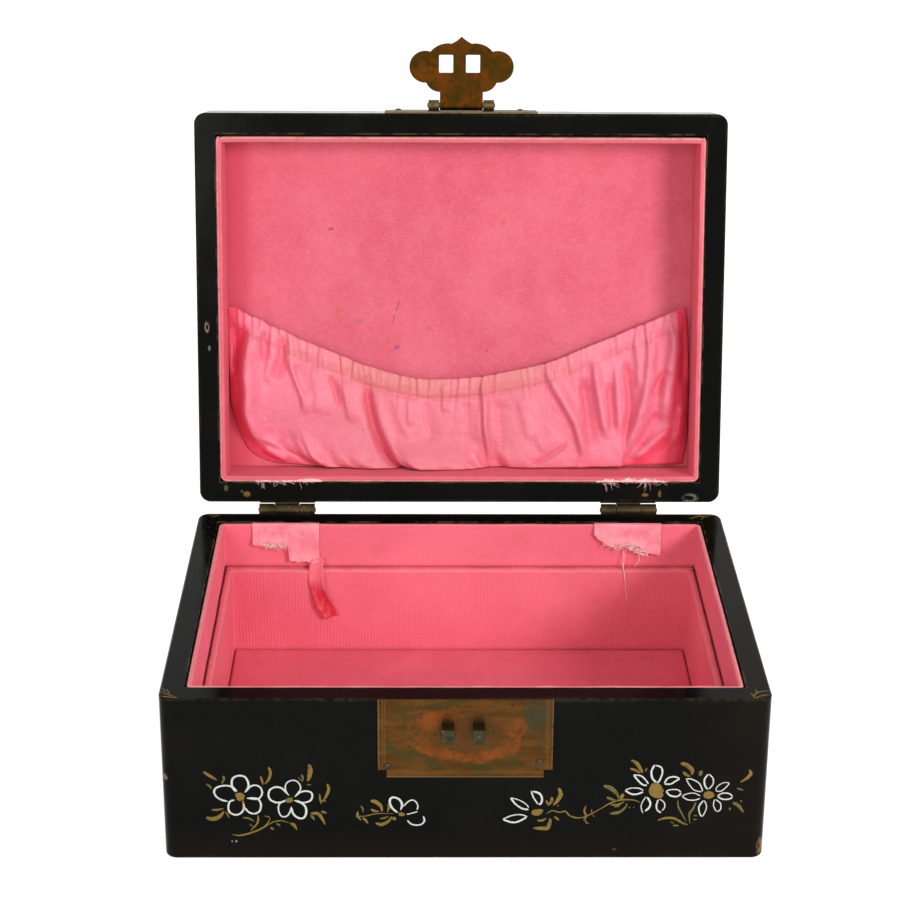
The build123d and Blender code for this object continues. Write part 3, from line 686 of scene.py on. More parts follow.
def paint_finish(name, light, worn, scale=900.0):
    """Thin brushed paint that lets the lacquer through where the brush ran dry."""
    wire = Wiring(name)
    place = wire.place()
    brush = wire.noise(place, scale, 3.0, 0.6)
    base = wire.mix(wire.ramp(brush, 0.26, 0.52), worn, light)
    wire.link(base, "Base Color")
    wire.set(Roughness=0.55, Specular_IOR_Level=0.3)
    return wire.material


# Linings

def strip_path(half_x, half_y):
    """Inner line of a lining strip along the front, from mitre to mitre, with its outward directions."""
    line = []
    corner_x, corner_y = half_x - CREASE, half_y - CREASE
    for k in range(7):
        a = math.radians(225 + 45 * k / 6)
        out = Vector((math.cos(a), math.sin(a), 0))
        line.append((Vector((-corner_x, -corner_y, 0)) + CREASE * out, out))
    steps = max(int(2 * corner_x / 1.6), 8)
    for k in range(1, steps):
        line.append((Vector((-corner_x + 2 * corner_x * k / steps, -half_y, 0)), Vector((0, -1, 0))))
    for k in range(7):
        a = math.radians(270 + 45 * k / 6)
        out = Vector((math.cos(a), math.sin(a), 0))
        line.append((Vector((corner_x, -corner_y, 0)) + CREASE * out, out))
    return line


def lining_strip(name, node, body, finish, side, half, depth, low, high, rounding, wave, turn=IN_PLACE,
                 edge_up=True, stand_off=0.0):
    """One strip of cloth on card: its face waves a little and its free edge is rolled over."""
    half_x, half_y = half
    if side == "front":
        half_y -= stand_off
    quarter = {"front": 0, "right": 1, "rear": 2, "left": 3}[side]
    if quarter % 2:
        half_x, half_y = half_y, half_x
    spin = Matrix.Rotation(quarter * math.pi / 2, 4, "Z")
    far, near = (high, low) if edge_up else (low, high)
    sign = 1 if edge_up else -1
    rise = abs(far - near)
    section = [(0.0, rise * k / 12) for k in range(12)]
    section[-1] = (0.0, rise - 2.2 * rounding)
    for k in range(6):
        a = math.pi / 2 * k / 5
        section.append((rounding * (1 - math.cos(a)), rise - rounding * (1 - math.sin(a))))
    if depth > 4 and side in ("left", "right"):
        section += [(2.2, rise), (2.75, rise - 0.1), (2.9, rise - 1.4), (depth, rise - 1.4),
                    (depth, rise / 2), (depth, 0.0)]
    else:
        section += [(depth * 0.5, rise), (depth - 0.95, rise), (depth - 0.6, rise), (depth, rise - 0.2),
                    (depth, rise / 2), (depth, 0.0)]
    fold_worn = 0.28 if depth > 4 else 0.10
    rings, uvs, worn = [], [], []
    travelled, before = 0.0, None
    for point, out in strip_path(half_x - depth, half_y - depth):
        if before is not None:
            travelled += (point - before).length
        before = point
        ring = []
        around = 0.0
        last = section[0]
        for inward, up in section:
            around += math.hypot(inward - last[0], up - last[1])
            last = (inward, up)
            place = spin @ (point + out * inward)
            place.z = near + sign * up
            share = min(up / rise, 1.0)
            soft = noise.noise(Vector((place.x, place.y, place.z)) * 0.055 + Vector((7.3, 1.1, 4.2)))
            soft += 0.45 * noise.noise(Vector((place.x, place.y, place.z)) * 0.21)
            face = 1.0 if inward < depth * 0.6 else 0.0
            push = wave * soft * face * (0.35 + 0.65 * math.sin(math.pi * min(max(share, 0.05), 0.95)))
            place -= spin @ (out * push)
            if share > 0.93 and inward < depth:
                place.z += sign * wave * 0.9 * noise.noise(Vector((place.x, place.y, 3.7)) * 0.16)
            ring.append(place * MM)
            uvs.append((travelled * MM + 0.3 * quarter, around * MM))
            if inward < depth * 0.4:
                worn.append(fold_worn if up > rise - 0.75 * rounding else 0.0)
            else:
                worn.append(1.0 if inward > depth - 0.7 and up > rise - 0.5 and depth < 4 else 0.0)
        rings.append(ring)
    vertices, faces = swept(rings)
    piece = mesh_object(name, vertices, faces, turn, uvs)
    point_values(piece, "worn_edge", worn)
    recalculate(piece)
    piece.data.materials.append(finish)
    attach(piece, body)
    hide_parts(node)
    return piece


def lining_pad(name, node, body, finish, half, corner, face, back, rounding, wave, turn=IN_PLACE):
    """A flat pad of cloth on card: a slightly uneven face with rolled edges, closed behind."""
    half_x, half_y = half
    columns, rows = 150, 110
    vertices, uvs = [], []
    sign = 1 if face > back else -1

    def rounded(u, v):
        """A place in the rounded rectangle for a place in a square."""
        x, y = u * half_x, v * half_y
        over_x, over_y = abs(x) - (half_x - corner), abs(y) - (half_y - corner)
        if over_x > 0 and over_y > 0:
            reach = math.hypot(over_x, over_y)
            limit = max(over_x, over_y)
            x = math.copysign(half_x - corner + over_x * limit / reach, x)
            y = math.copysign(half_y - corner + over_y * limit / reach, y)
        return x, y

    for j in range(rows):
        for i in range(columns):
            u, v = 2 * i / (columns - 1) - 1, 2 * j / (rows - 1) - 1
            u, v = math.sin(u * math.pi / 2) * 0.4 + u * 0.6, math.sin(v * math.pi / 2) * 0.4 + v * 0.6
            x, y = rounded(u, v)
            rim = min((1 - abs(u)) * half_x, (1 - abs(v)) * half_y)
            drop = 0.0
            if rim < rounding:
                drop = rounding - math.sqrt(max(rounding ** 2 - (rounding - rim) ** 2, 0.0))
            broad = noise.noise(Vector((x, y, 0.0)) * 0.035)
            lift = wave * (broad + 0.4 * noise.noise(Vector((x, y, 5.0)) * 0.14))
            lift *= min(rim / 4.0, 1.0)
            vertices.append(Vector((x, y, face + sign * (lift - drop))) * MM)
            uvs.append((x * MM, y * MM))
    faces = grid_faces(columns, rows)
    border = grid_border(columns, rows)
    first = len(vertices)
    for n in border:
        vertices.append(Vector((vertices[n].x, vertices[n].y, back * MM)))
        uvs.append(uvs[n])
    count = len(border)
    for k in range(count):
        a, b = border[k], border[(k + 1) % count]
        faces.append((b, a, first + k, first + (k + 1) % count))
    faces.append(tuple(range(first, first + count)))
    piece = mesh_object(name, vertices, faces, turn, uvs)
    recalculate(piece)
    piece.data.materials.append(finish)
    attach(piece, body)
    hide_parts(node)
    return piece


class JEWELRYBOX_OT_linings(bpy.types.Operator):
    """Cover the strips, the floor and the lid's panel with pink cloth"""
    bl_idname = "jewelry_box.linings"
    bl_label = "Linings"

    def execute(self, context):
        # Each copy of the lining cloth takes its own tone as painted light and shade: the base's strips are
        # lighter, the lid's cloth darker, and the strip inside the lid's front darkest.
        ribbed = cloth_finish("ribbed_ledge_cloth", False, ribs=True, soiled=0.2, tone=1.06, faded=0.12)
        base_cloth = cloth_finish("base_lining_cloth", False, soiled=0.2, tone=1.08, faded=0.22)
        floor_cloth = cloth_finish("floor_cloth", False, soiled=0.4, tone=1.0)
        lid_cloth = cloth_finish("lid_lining_cloth", True, soiled=0.2, tone=0.95)
        dull_cloth = cloth_finish("lid_front_cloth", True, soiled=0.55, tone=0.78, faded=0.12)
        panel_cloth = cloth_finish("lid_panel_cloth", True, soiled=0.14, tone=0.90, marked=True)
        for side in ("front", "rear", "left", "right"):
            lining_strip(f"ledge_cloth_{side}", f"ledge_liner_{side}", "base", ribbed, side,
                         (LINING_X, LINING_Y), 5.3, FLOOR, LEDGE, 0.9, 0.35)
            lining_strip(f"upper_cloth_{side}", f"upper_liner_{side}", "base", base_cloth, side,
                         (LINING_X, LINING_Y), 1.9, LEDGE + 0.5, BASE_RIM - 0.5, 0.6, 0.3)
            strip_cloth = dull_cloth if side == "front" else lid_cloth
            lining_strip(f"lid_cloth_{side}", f"lid_liner_{side}", "lid", strip_cloth, side,
                         (INNER_X, INNER_Y), 2.5, LID_RIM + 0.4, PANEL_FACE, 0.8, 0.35, LID_OPEN,
                         edge_up=False, stand_off=LOOSE_STRIP)
        lining_pad("floor_cloth", "floor_liner", "base", floor_cloth, (LINING_X - 5.5, LINING_Y - 5.5),
                   CREASE, FLOOR + 2.0, FLOOR, 0.8, 0.25)
        lining_pad("lid_panel_cloth", "lid_panel_liner", "lid", panel_cloth, (INNER_X, INNER_Y), 0.5,
                   PANEL_FACE, PANEL_BACK, 0.1, 0.25, LID_OPEN)
        return {"FINISHED"}


# Gathered pocket. The mouth's pixels were read off the photograph, which is 900 pixels wide and
# high, and are carried onto the lid at the level of the mouth.
MOUTH_LEVEL = LID_RIM + 21.5
MOUTH_PIXELS = (
    (228, 307), (237, 308.5), (244.9, 312.5), (250.7, 315.8), (260.7, 319), (266, 323), (272, 326),
    (284.5, 330.5), (292, 335), (303, 340.2), (319.5, 346.5), (329.5, 351), (347, 357.6), (359.5, 363.2),
    (377, 368.7), (392, 373), (410, 377.2), (430, 379.2), (456, 378.4), (483, 376), (509.9, 371),
    (536.7, 365.5), (560, 358.2), (578.6, 350.3), (597.5, 343), (616, 335.6), (640, 325), (657.5, 318),
    (671, 312.6), (680, 308), (684.6, 307),
)
MOUTH = tuple(on_lid(pixel, MOUTH_LEVEL) for pixel in MOUTH_PIXELS)
# Places on the lid are (x, distance in front of the lid's rear face), in millimetres, and a height is how
# far the cloth stands off the panel. The edges, the foot, the folds and the gathers were read off the
# photograph in the same way, and most were then moved. They are kept as places.
LEFT_EDGE = ((-107.7, 88.0), (-108.0, 75.8), (-107.8, 64.1), (-107.6, 53.2), (-107.3, 43.2), (-105.7, 36.6),
             (-102.8, 28.2), (-100.0, 21.8), (-95.8, 17.4), (-90.2, 14.8))
RIGHT_EDGE = ((104.6, 88.4), (106.2, 79.1), (107.3, 64.2), (107.6, 40.7), (107.4, 28.5), (106.6, 19.7),
              (105.4, 13.6))
FOOT = ((-90.2, 14.8), (-81.3, 13.8), (-69.5, 13.0), (-56.3, 12.6), (-27.9, 12.5), (0.4, 12.5), (60.0, 12.5),
        (105.4, 13.6))
FOOT_SWELL = ((-90.2, 1.5), (-79.8, 1.5), (-68.0, 2.4), (-63.4, 6.2), (-60.6, 9.0), (-54.5, 6.8),
              (-47.0, 10.0), (-40.0, 12.0), (-31.5, 10.5), (-26.0, 4.0), (-22.3, 10.0), (-17.0, 15.5),
              (-3.6, 15.0), (5.7, 13.0), (11.0, 8.0), (14.5, 4.0), (19.7, 3.0), (25.7, 7.5), (33.7, 8.8),
              (47.7, 8.4), (56.0, 7.8), (62.0, 6.6), (69.7, 8.2), (75.0, 8.2), (78.5, 2.5), (88.4, 4.0),
              (104.7, 2.0))
# Each fold has its height (below 0 for a hollow), its half width and its line from the mouth down.
FOLDS = (
    (5.4, 3.4, ((-96.2, 83.0), (-97.0, 74.9), (-100.0, 61.3), (-99.0, 48.6), (-99.4, 37.7), (-95.6, 27.0),
                (-90.0, 21.0))),
    (-2.6, 3.0, ((-104.0, 80.0), (-104.6, 66.0), (-105.0, 54.0))),
    (-1.6, 2.2, ((-91.0, 78.0), (-91.8, 72.5), (-91.2, 62.0))),
    (1.3, 2.4, ((-88.5, 77.0), (-88.0, 66.0), (-91.0, 52.0))),
    (-2.2, 2.3, ((-82.9, 76.1), (-83.7, 65.3), (-87.5, 53.0))),
    (1.7, 2.0, ((-80.8, 75.0), (-79.8, 63.9), (-75.7, 53.1), (-72.9, 44.5), (-72.3, 36.0))),
    (-1.2, 1.5, ((-77.0, 62.5), (-74.3, 52.5), (-70.8, 45.9))),
    (1.0, 3.2, ((-69.0, 62.0), (-66.5, 48.0), (-66.0, 36.0))),
    (-1.1, 1.3, ((-61.4, 57.0), (-57.9, 46.6), (-56.9, 40.1))),
    (1.2, 2.6, ((-56.0, 56.0), (-52.5, 44.0), (-50.0, 33.0))),
    (-3.0, 2.7, ((-43.6, 53.0), (-42.6, 41.6), (-40.1, 31.4), (-36.6, 22.7), (-30.9, 16.4), (-26.6, 13.0))),
    (2.0, 1.9, ((-40.7, 52.0), (-38.8, 40.1), (-35.4, 29.2), (-32.0, 21.2), (-27.0, 15.4), (-19.0, 12.0))),
    (0.8, 3.0, ((-31.0, 48.0), (-28.0, 36.0), (-22.0, 24.0))),
    (0.9, 1.6, ((-23.7, 47.0), (-23.3, 31.4))),
    (-0.9, 2.4, ((-17.0, 46.0), (-15.0, 34.0), (-12.0, 24.0))),
    (0.9, 1.2, ((-7.6, 53.2), (-7.3, 38.0))),
    (-0.8, 2.4, ((3.0, 45.0), (4.0, 30.0), (5.0, 18.0))),
    (1.7, 1.3, ((10.2, 55.1), (11.4, 43.8), (11.8, 32.5), (13.4, 21.1), (14.1, 14.3))),
    (-0.9, 2.4, ((17.5, 46.0), (19.0, 32.0), (21.0, 18.0))),
    (0.8, 2.6, ((27.0, 47.0), (31.0, 35.0), (33.0, 24.0))),
    (2.3, 2.4, ((39.5, 61.1), (44.8, 49.9), (49.4, 42.3), (53.9, 34.0), (56.4, 26.5), (57.8, 19.6),
                (56.4, 14.5))),
    (-1.1, 1.0, ((33.0, 13.2), (38.0, 15.4), (43.5, 18.6), (48.5, 22.0), (51.5, 25.5))),
    (0.7, 3.6, ((36.0, 22.0), (42.0, 24.6), (47.0, 28.6))),
    (-2.2, 2.6, ((56.5, 56.0), (59.0, 43.9), (60.2, 32.5), (61.8, 21.1))),
    (1.9, 2.0, ((62.4, 67.0), (63.6, 54.4), (65.4, 43.9), (67.6, 32.5), (70.4, 25.0))),
    (-1.3, 1.7, ((69.6, 54.0), (70.6, 39.3), (71.3, 29.0))),
    (1.4, 1.7, ((73.2, 63.0), (73.4, 51.4), (74.4, 36.3), (74.9, 27.0))),
    (-2.0, 1.9, ((76.6, 65.0), (78.2, 54.4), (79.3, 43.9), (78.6, 32.5), (76.9, 26.0))),
    (1.4, 2.0, ((81.6, 75.4), (83.4, 62.7), (83.8, 48.0))),
    (2.6, 2.5, ((87.6, 79.0), (88.4, 66.4), (87.2, 51.4), (82.9, 34.0), (79.0, 22.7), (76.0, 13.5))),
    (-1.7, 2.0, ((98.0, 59.7), (93.8, 54.4), (89.4, 46.0))),
    (-1.9, 2.6, ((94.0, 40.0), (88.0, 30.0), (83.0, 20.0))),
    (1.9, 2.1, ((100.0, 32.2), (90.0, 24.4), (80.6, 15.6))),
    (3.4, 3.0, ((97.6, 85.0), (99.4, 76.9), (100.0, 69.9), (98.4, 61.7), (96.9, 52.2), (96.0, 41.8),
                (98.0, 33.3))),
    (-2.0, 2.6, ((103.4, 80.0), (104.6, 66.0), (104.4, 50.0))),
    (1.2, 2.0, ((104.0, 44.0), (103.0, 32.0), (100.0, 22.0))),
    (-2.2, 1.9, ((-88.6, 26.2), (-79.6, 20.2), (-69.9, 15.4), (-63.5, 13.4))),
    (2.1, 2.0, ((-93.4, 26.4), (-84.1, 22.8), (-72.0, 17.4), (-58.4, 14.2))),
    (1.6, 1.8, ((-93.0, 21.6), (-86.0, 17.6), (-80.0, 15.6))),
)
CASING = 9.2
GATHERS = ((-101.0, 5.2), (-97.2, 3.9), (-93.4, 4.8), (-88.6, 4.1), (-84.7, 3.6), (-80.9, 5.0), (-75.8, 4.4),
           (-71.4, 5.3), (-66.0, 4.2), (-61.8, 5.5), (-56.3, 6.0), (-50.2, 4.6), (-45.6, 3.2), (-42.5, 3.6),
           (-38.8, 4.9), (-33.8, 5.6), (-28.2, 4.4), (-23.8, 3.4), (-20.6, 5.8), (-14.7, 7.1), (-7.6, 6.6),
           (-1.0, 5.2), (4.2, 6.0), (10.2, 5.8), (16.1, 4.6), (20.7, 4.9), (25.6, 5.2), (30.8, 4.4),
           (35.2, 4.3), (39.5, 5.4), (45.0, 4.9), (49.8, 4.2), (54.1, 4.5), (58.6, 3.9), (62.6, 4.8),
           (67.4, 4.6), (72.0, 3.9), (76.0, 5.4), (81.4, 4.0), (85.4, 4.6), (90.0, 5.0), (95.0, 4.2),
           (99.2, 4.8))


def read_line(points, share):
    """A place at a share of the length of a line of plan points."""
    line = np.array(points)
    steps = np.hypot(*np.diff(line, axis=0).T)
    run = np.concatenate([[0], np.cumsum(steps)]) / steps.sum()
    return np.array([np.interp(share, run, line[:, 0]), np.interp(share, run, line[:, 1])])


def pocket_plan(columns, rows):
    """Plan places of the pocket's cloth, between its mouth, its side edges and its foot."""
    s = np.linspace(0, 1, columns)[None, :]
    t = np.linspace(0, 1, rows)[:, None]
    t = t * 0.72 + 0.28 * (1 - (1 - t) ** 2.2)
    smooth_mouth = [tuple(p)[:2] for p in curve_through([(x, y, 0) for x, y in MOUTH], 6)]
    mouth, foot = read_line(smooth_mouth, s[0]), read_line(FOOT, s[0])
    left, right = read_line(LEFT_EDGE, t[:, 0]), read_line(RIGHT_EDGE, t[:, 0])
    plan = []
    for axis in (0, 1):
        m, f = mouth[axis][None, :], foot[axis][None, :]
        l, r = left[axis][:, None], right[axis][:, None]
        corners = ((1 - s) * (1 - t) * m[0, 0] + s * (1 - t) * m[0, -1]
                   + (1 - s) * t * f[0, 0] + s * t * f[0, -1])
        plan.append((1 - t) * m + t * f + (1 - s) * l + s * r - corners)
    return plan[0], plan[1], s, t


def near_line(x, y, points):
    """For each place, its distance from a line, its share of the way along and the side on which it lies."""
    line = np.array([tuple(p)[:2] for p in curve_through([(a, b, 0) for a, b in points], 5)])
    steps = np.hypot(*np.diff(line, axis=0).T)
    run = np.concatenate([[0], np.cumsum(steps)])
    best = np.full(x.shape, 1e9)
    share = np.zeros(x.shape)
    side = np.zeros(x.shape)
    for k in range(len(line) - 1):
        ax, ay = line[k]
        bx, by = line[k + 1] - line[k]
        f = np.clip(((x - ax) * bx + (y - ay) * by) / (bx * bx + by * by), 0, 1)
        away = np.hypot(x - ax - f * bx, y - ay - f * by)
        closer = away < best
        best = np.where(closer, away, best)
        share = np.where(closer, (run[k] + f * steps[k]) / run[-1], share)
        side = np.where(closer, np.sign((x - ax) * by - (y - ay) * bx), side)
    return best, share, side


def pocket_height(x, d, s, t, mouth_d):
    """How far the satin stands off the panel at each place."""
    down = np.interp(t, (0.0, 0.12, 0.24, 0.55, 0.80, 0.92, 1.0), (5.0, 5.0, 5.6, 6.8, 6.6, 6.0, 5.2)) + 0 * s
    swell = np.array([value_along(FOOT_SWELL, float(v)) for v in x[-1]])[None, :]
    low = np.clip((t - 0.55) / 0.38, 0, 1)
    low = low * low * (3 - 2 * low)
    height = down * (1 - low) + (0.35 * down + 0.75 * swell) * low
    for points, reach, top in ((LEFT_EDGE, 7.5, 5.4), (RIGHT_EDGE, 5.0, 5.4)):
        away, share, side = near_line(x, d, points)
        rise = np.clip(away / reach, 0, 1)
        rise = np.sin(rise * np.pi / 2)
        edge_height = np.interp(share, (0, 0.2, 0.5, 1), (top - 1.4, 1.8, 0.9, 0.8))
        height = edge_height * (1 - rise) + height * rise
    fade_edge = np.clip(np.minimum(s, 1 - s) / 0.012, 0, 1)
    for size, width, points in FOLDS:
        away, share, side = near_line(x, d, points)
        along = np.clip(np.minimum(share / 0.22, (1 - share) / 0.22), 0, 1)
        along = along * along * (3 - 2 * along)
        along = 0.25 + 0.75 * along if points[-1][1] < 15.5 else along
        reach = width * np.where(side > 0, 0.72, 1.55)
        gain = 1.0 if size > 3.0 else 1.35
        height += gain * size * np.exp(-(away / reach) ** 2) * along * fade_edge
    # small gathers of the casing, which die out below it
    band = mouth_d - d
    for n, (place, pitch) in enumerate(GATHERS):
        lean = place + band * 0.13 * np.sin(place * 2.3)
        reach = 3.0 + 5.0 * abs(math.sin(place * 1.7))
        hold = np.exp(-np.clip(band - 6.0, 0, None) / reach) * fade_edge
        deep = max(0.36 + 0.42 * math.sin(place * 5.1), 0.08)
        height -= 0.65 * deep * hold * np.exp(-((x - lean) / 0.66) ** 2)
        height += 0.75 * deep * hold * np.exp(-((x - lean - 1.35) / 0.85) ** 2)
        if n % 3 == 0:
            height += 0.55 * hold * np.exp(-((x - lean + 0.38 * pitch) / 0.6) ** 2)
    pinch = np.exp(-((band - CASING) / 1.1) ** 2) * (0.25 + 0.75 * np.exp(-((x + 15) / 38.0) ** 2))
    height -= 0.9 * pinch * fade_edge
    puff = np.exp(-((band - 4.5) / 2.6) ** 2)
    height += 0.5 * puff * fade_edge
    height = np.where(band < CASING, np.maximum(height, 3.0 - 0.4 * np.clip(band - 7.5, 0, 5)), height)
    tuck = np.clip((1 - t) / 0.018, 0, 1)
    tuck = np.sqrt(np.clip(1 - (1 - tuck) ** 2, 0, 1))
    return 0.75 + np.clip(height - 0.75, 0.0, None) * (0.06 + 0.94 * tuck)


def blurred(values, columns, rows):
    """The mean of a grid of values over a window of grid places."""
    for axis, reach in ((1, columns), (0, rows)):
        pad = [(reach, reach) if a == axis else (0, 0) for a in (0, 1)]
        total = np.cumsum(np.pad(values, pad, mode="edge"), axis=axis)
        total = np.insert(total, 0, 0.0, axis=axis)
        ahead = np.take(total, range(2 * reach + 1, total.shape[axis]), axis=axis)
        behind = np.take(total, range(0, total.shape[axis] - 2 * reach - 1), axis=axis)
        values = (ahead - behind) / (2 * reach + 1)
    return values


# Crests of the outermost folds, as (distance in front of the rear face, x); beyond them the satin takes
# painted shade
LEFT_CREST = ((14.0, -78.0), (21.0, -88.5), (27.0, -94.6), (37.7, -99.4), (48.6, -99.4), (61.3, -100.5),
              (74.9, -98.4), (83.0, -98.0))
RIGHT_CREST = ((13.0, 78.0), (15.6, 81.0), (24.4, 90.5), (32.0, 96.5), (41.8, 97.5), (52.2, 97.9),
               (61.7, 99.4), (70.0, 101.0), (77.0, 100.4), (86.0, 98.6))


def pocket_painted_shade(x, d, t, height):
    """How much painted shade each place of the satin takes, from 0 to 1: in the hollows of its folds, on the
    flanks beyond the outermost crests, where the walls shade them, and near its foot, where it lies low.
    """
    broad = np.clip((blurred(height, 15, 8) - height - 0.15) / 1.9, 0, 1)
    narrow = np.clip((blurred(height, 4, 2) - height) / 0.35, 0, 1)
    left = np.clip((np.interp(d, [a for a, b in LEFT_CREST], [b for a, b in LEFT_CREST]) - x) / 2.4, 0, 1)
    right = np.clip((x - np.interp(d, [a for a, b in RIGHT_CREST], [b for a, b in RIGHT_CREST])) / 2.4, 0, 1)
    foot = 0.55 * np.clip((t - 0.84) / 0.14, 0, 1) * np.clip((10.0 - blurred(height, 8, 4)) / 6.0, 0, 1)
    left = left * np.interp(d, (15.0, 45.0, 60.0), (1.0, 0.9, 0.7))
    return np.clip(np.maximum(0.36 * broad, 0.16 * narrow) + left + right + foot, 0, 1)


class JEWELRYBOX_OT_pocket(bpy.types.Operator):
    """Hang the gathered satin pocket, with its casing, stitches and elastic"""
    bl_idname = "jewelry_box.pocket"
    bl_label = "Pocket"

    def execute(self, context):
        columns, rows = 500, 92
        x, d, s, t = pocket_plan(columns, rows)
        mouth_d = np.interp(x, [p[0] for p in MOUTH], [p[1] for p in MOUTH])
        height = pocket_height(x, d, s, t, mouth_d)
        scallop = 0 * x
        for place in (gather[0] for gather in GATHERS):
            scallop += max(0.4 + 0.5 * math.sin(place * 5.1), 0.1) * np.exp(-((x - place) / 0.8) ** 2)
        d = d - 0.5 * np.exp(-(t / 0.03)) * scallop
        vertices = [Vector((float(x[j, i]), HALF_DEPTH - float(d[j, i]),
                            PANEL_FACE - float(height[j, i]))) * MM
                    for j in range(rows) for i in range(columns)]
        uvs = [(float(x[j, i]) * MM, float(d[j, i]) * MM) for j in range(rows) for i in range(columns)]
        piece = mesh_object("gathered_pocket", vertices, grid_faces(columns, rows), LID_OPEN, uvs)
        band = mouth_d - d
        point_values(piece, "casing", np.clip((CASING + 0.6 - band) / 1.2, 0, 1))
        point_values(piece, "gather", np.exp(-((band - CASING) / 1.3) ** 2))
        # How deep the painted shade lies on the satin, for its material to read.
        point_values(piece, "painted_fold_shade", pocket_painted_shade(x, d, t, height))
        piece.data.materials.append(satin_finish("pocket_satin"))
        thicken(piece, sizes().satin)
        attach(piece, "lid")
        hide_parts("lid_pocket")
        self.elastic()
        seam = self.stitches(x, d, mouth_d, height, columns, rows)
        return {"FINISHED"}

    def stitches(self, x, d, mouth_d, height, columns, rows):
        """A running stitch along the foot of the casing, on the face of the satin."""
        line = []
        for i in range(8, columns - 8):
            j = int(np.argmin(np.abs(mouth_d[:, i] - d[:, i] - CASING + 0.3)))
            off = float(height[j, i]) + 0.28
            line.append(LID_OPEN @ (Vector((float(x[j, i]), HALF_DEPTH - float(d[j, i]),
                                            PANEL_FACE - off)) * MM))
        edges = [(n, n + 1) for n in range(len(line) - 1)]
        finish = plain_finish("stitch_thread", (0.80, 0.22, 0.26), (0.60, 0.13, 0.15), 500.0, 0.6)
        seam = made_by_tree("casing_stitches", stitch_tree(), line, edges, {
            "Stitches": sizes().stitches, "Length": sizes().stitch, "Thread": 0.00016, "Finish": finish})
        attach(seam, "lid")
        return seam

    def elastic(self):
        """Woven tape inside the casing."""
        line = [tuple(p)[:2] for p in curve_through([(x, y, 0) for x, y in MOUTH], 6)]
        line = [(x, y) for x, y in line if abs(x) < 101]
        rings = []
        for k, (px, py) in enumerate(line):
            ax, ay = line[max(k - 1, 0)]
            bx, by = line[min(k + 1, len(line) - 1)]
            run = math.hypot(bx - ax, by - ay)
            nx, ny = (by - ay) / run, -(bx - ax) / run
            ring = []
            for reach, level in ((3.3, 1.5), (3.3, 2.0), (5.0, 2.1), (6.8, 2.0), (6.8, 1.5), (5.0, 1.4)):
                ring.append(Vector((px + nx * reach, HALF_DEPTH - (py + ny * reach),
                                    PANEL_FACE - level)) * MM)
            rings.append(ring)
        vertices, faces = swept(rings)
        tape = mesh_object("elastic_tape", vertices, faces, LID_OPEN)
        recalculate(tape)
        tape.data.materials.append(plain_finish("woven_elastic", (0.72, 0.52, 0.46), (0.55, 0.34, 0.30),
                                                600.0, 0.8))
        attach(tape, "lid")
        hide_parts("pocket_elastic")


# Torn cloth ends. A tear is a list of (across, down) places from the middle of the hinge above it.
LEFT_HINGE = -79.8
RIGHT_HINGE = 78.1
UPPER_TOP = 72.0
LEFT_TEAR = ((-15.0, 8.6), (-12.5, 9.2), (-10.2, 8.8), (-7.0, 9.4), (-4.0, 9.1), (-1.0, 9.9), (1.2, 9.6),
             (1.9, 17.2), (4.0, 16.6), (6.4, 17.6), (9.3, 16.6), (12.0, 17.9), (15.4, 17.4))
RIGHT_TEAR = ((-16.8, 3.6), (-15.0, 6.0), (-12.1, 7.6), (-8.1, 10.2), (-4.1, 9.4), (-0.1, 8.8), (4.0, 9.6),
              (7.5, 12.6), (9.9, 13.2), (13.8, 14.0))
LEFT_STUB = ((-14.6, 0.3), (-9.0, 0.5), (-2.2, 0.5), (1.0, 0.9), (3.8, 0.5), (7.8, 1.7), (12.8, 1.2),
             (16.3, 0.4))
RIGHT_STUB = ((-15.0, 0.6), (-9.0, 1.4), (-4.0, 0.7), (0.0, 1.9), (4.0, 1.1), (8.0, 1.7), (12.5, 1.2),
              (16.5, 0.4))


def ragged(x, size=1.0):
    """A small jagged change along a torn edge."""
    broad = noise.noise(Vector((x * 1.3, 2.1, 0.4)))
    return size * (0.5 * broad + 0.35 * noise.noise(Vector((x * 4.1, 7.7, 1.9))))


def torn_tab(name, node, centre, tear, fold_at, finish):
    """A tab folded over the rear strip: flat on its top edge, down its face, lifted where it is torn."""
    left, right = centre + tear[0][0], centre + tear[-1][0]
    places = [a for a, b in tear]
    drops = [b for a, b in tear]
    columns, rows = 150, 64
    top, bend = 1.3, 0.5
    vertices = []
    for j in range(rows):
        for i in range(columns):
            x = left + (right - left) * i / (columns - 1)
            drop = float(np.interp(x - centre, places, drops)) + ragged(x)
            reach = top + bend * math.pi / 2 + drop
            a = reach * j / (rows - 1)
            if a < top:
                y, z = LINING_Y - 0.6 - a, UPPER_TOP + 0.32
            elif a < top + bend * math.pi / 2:
                turn = (a - top) / bend
                y = LINING_Y - 0.6 - top - bend * math.sin(turn)
                z = UPPER_TOP + 0.32 - bend * (1 - math.cos(turn))
            else:
                down = a - top - bend * math.pi / 2
                y = LINING_Y - 0.6 - top - bend
                z = UPPER_TOP + 0.32 - bend - down
                near_end = min(max(1 - (reach - a) / 6.0, 0.0), 1.0)
                lift = 0.5 + 0.5 * noise.noise(Vector((x * 0.28, 3.3, 1.2)))
                y -= near_end ** 2 * (0.8 + 1.9 * lift)
                y -= 0.16 * (1 + noise.noise(Vector((x * 0.5, z * 0.35, 8.1)))) * min(down / 3, 1.0)
            crease = 1 / (1 + math.exp(-(x - centre - fold_at) / 0.22))
            y -= 0.34 * crease * min(max((a - top) / 2.0, 0.0), 1.0)
            vertices.append(Vector((x, y, z)) * MM)
    piece = mesh_object(name, vertices, grid_faces(columns, rows))
    piece.data.materials.append(finish)
    thicken(piece, sizes().torn_cloth)
    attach(piece, "base")
    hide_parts(node)
    return piece


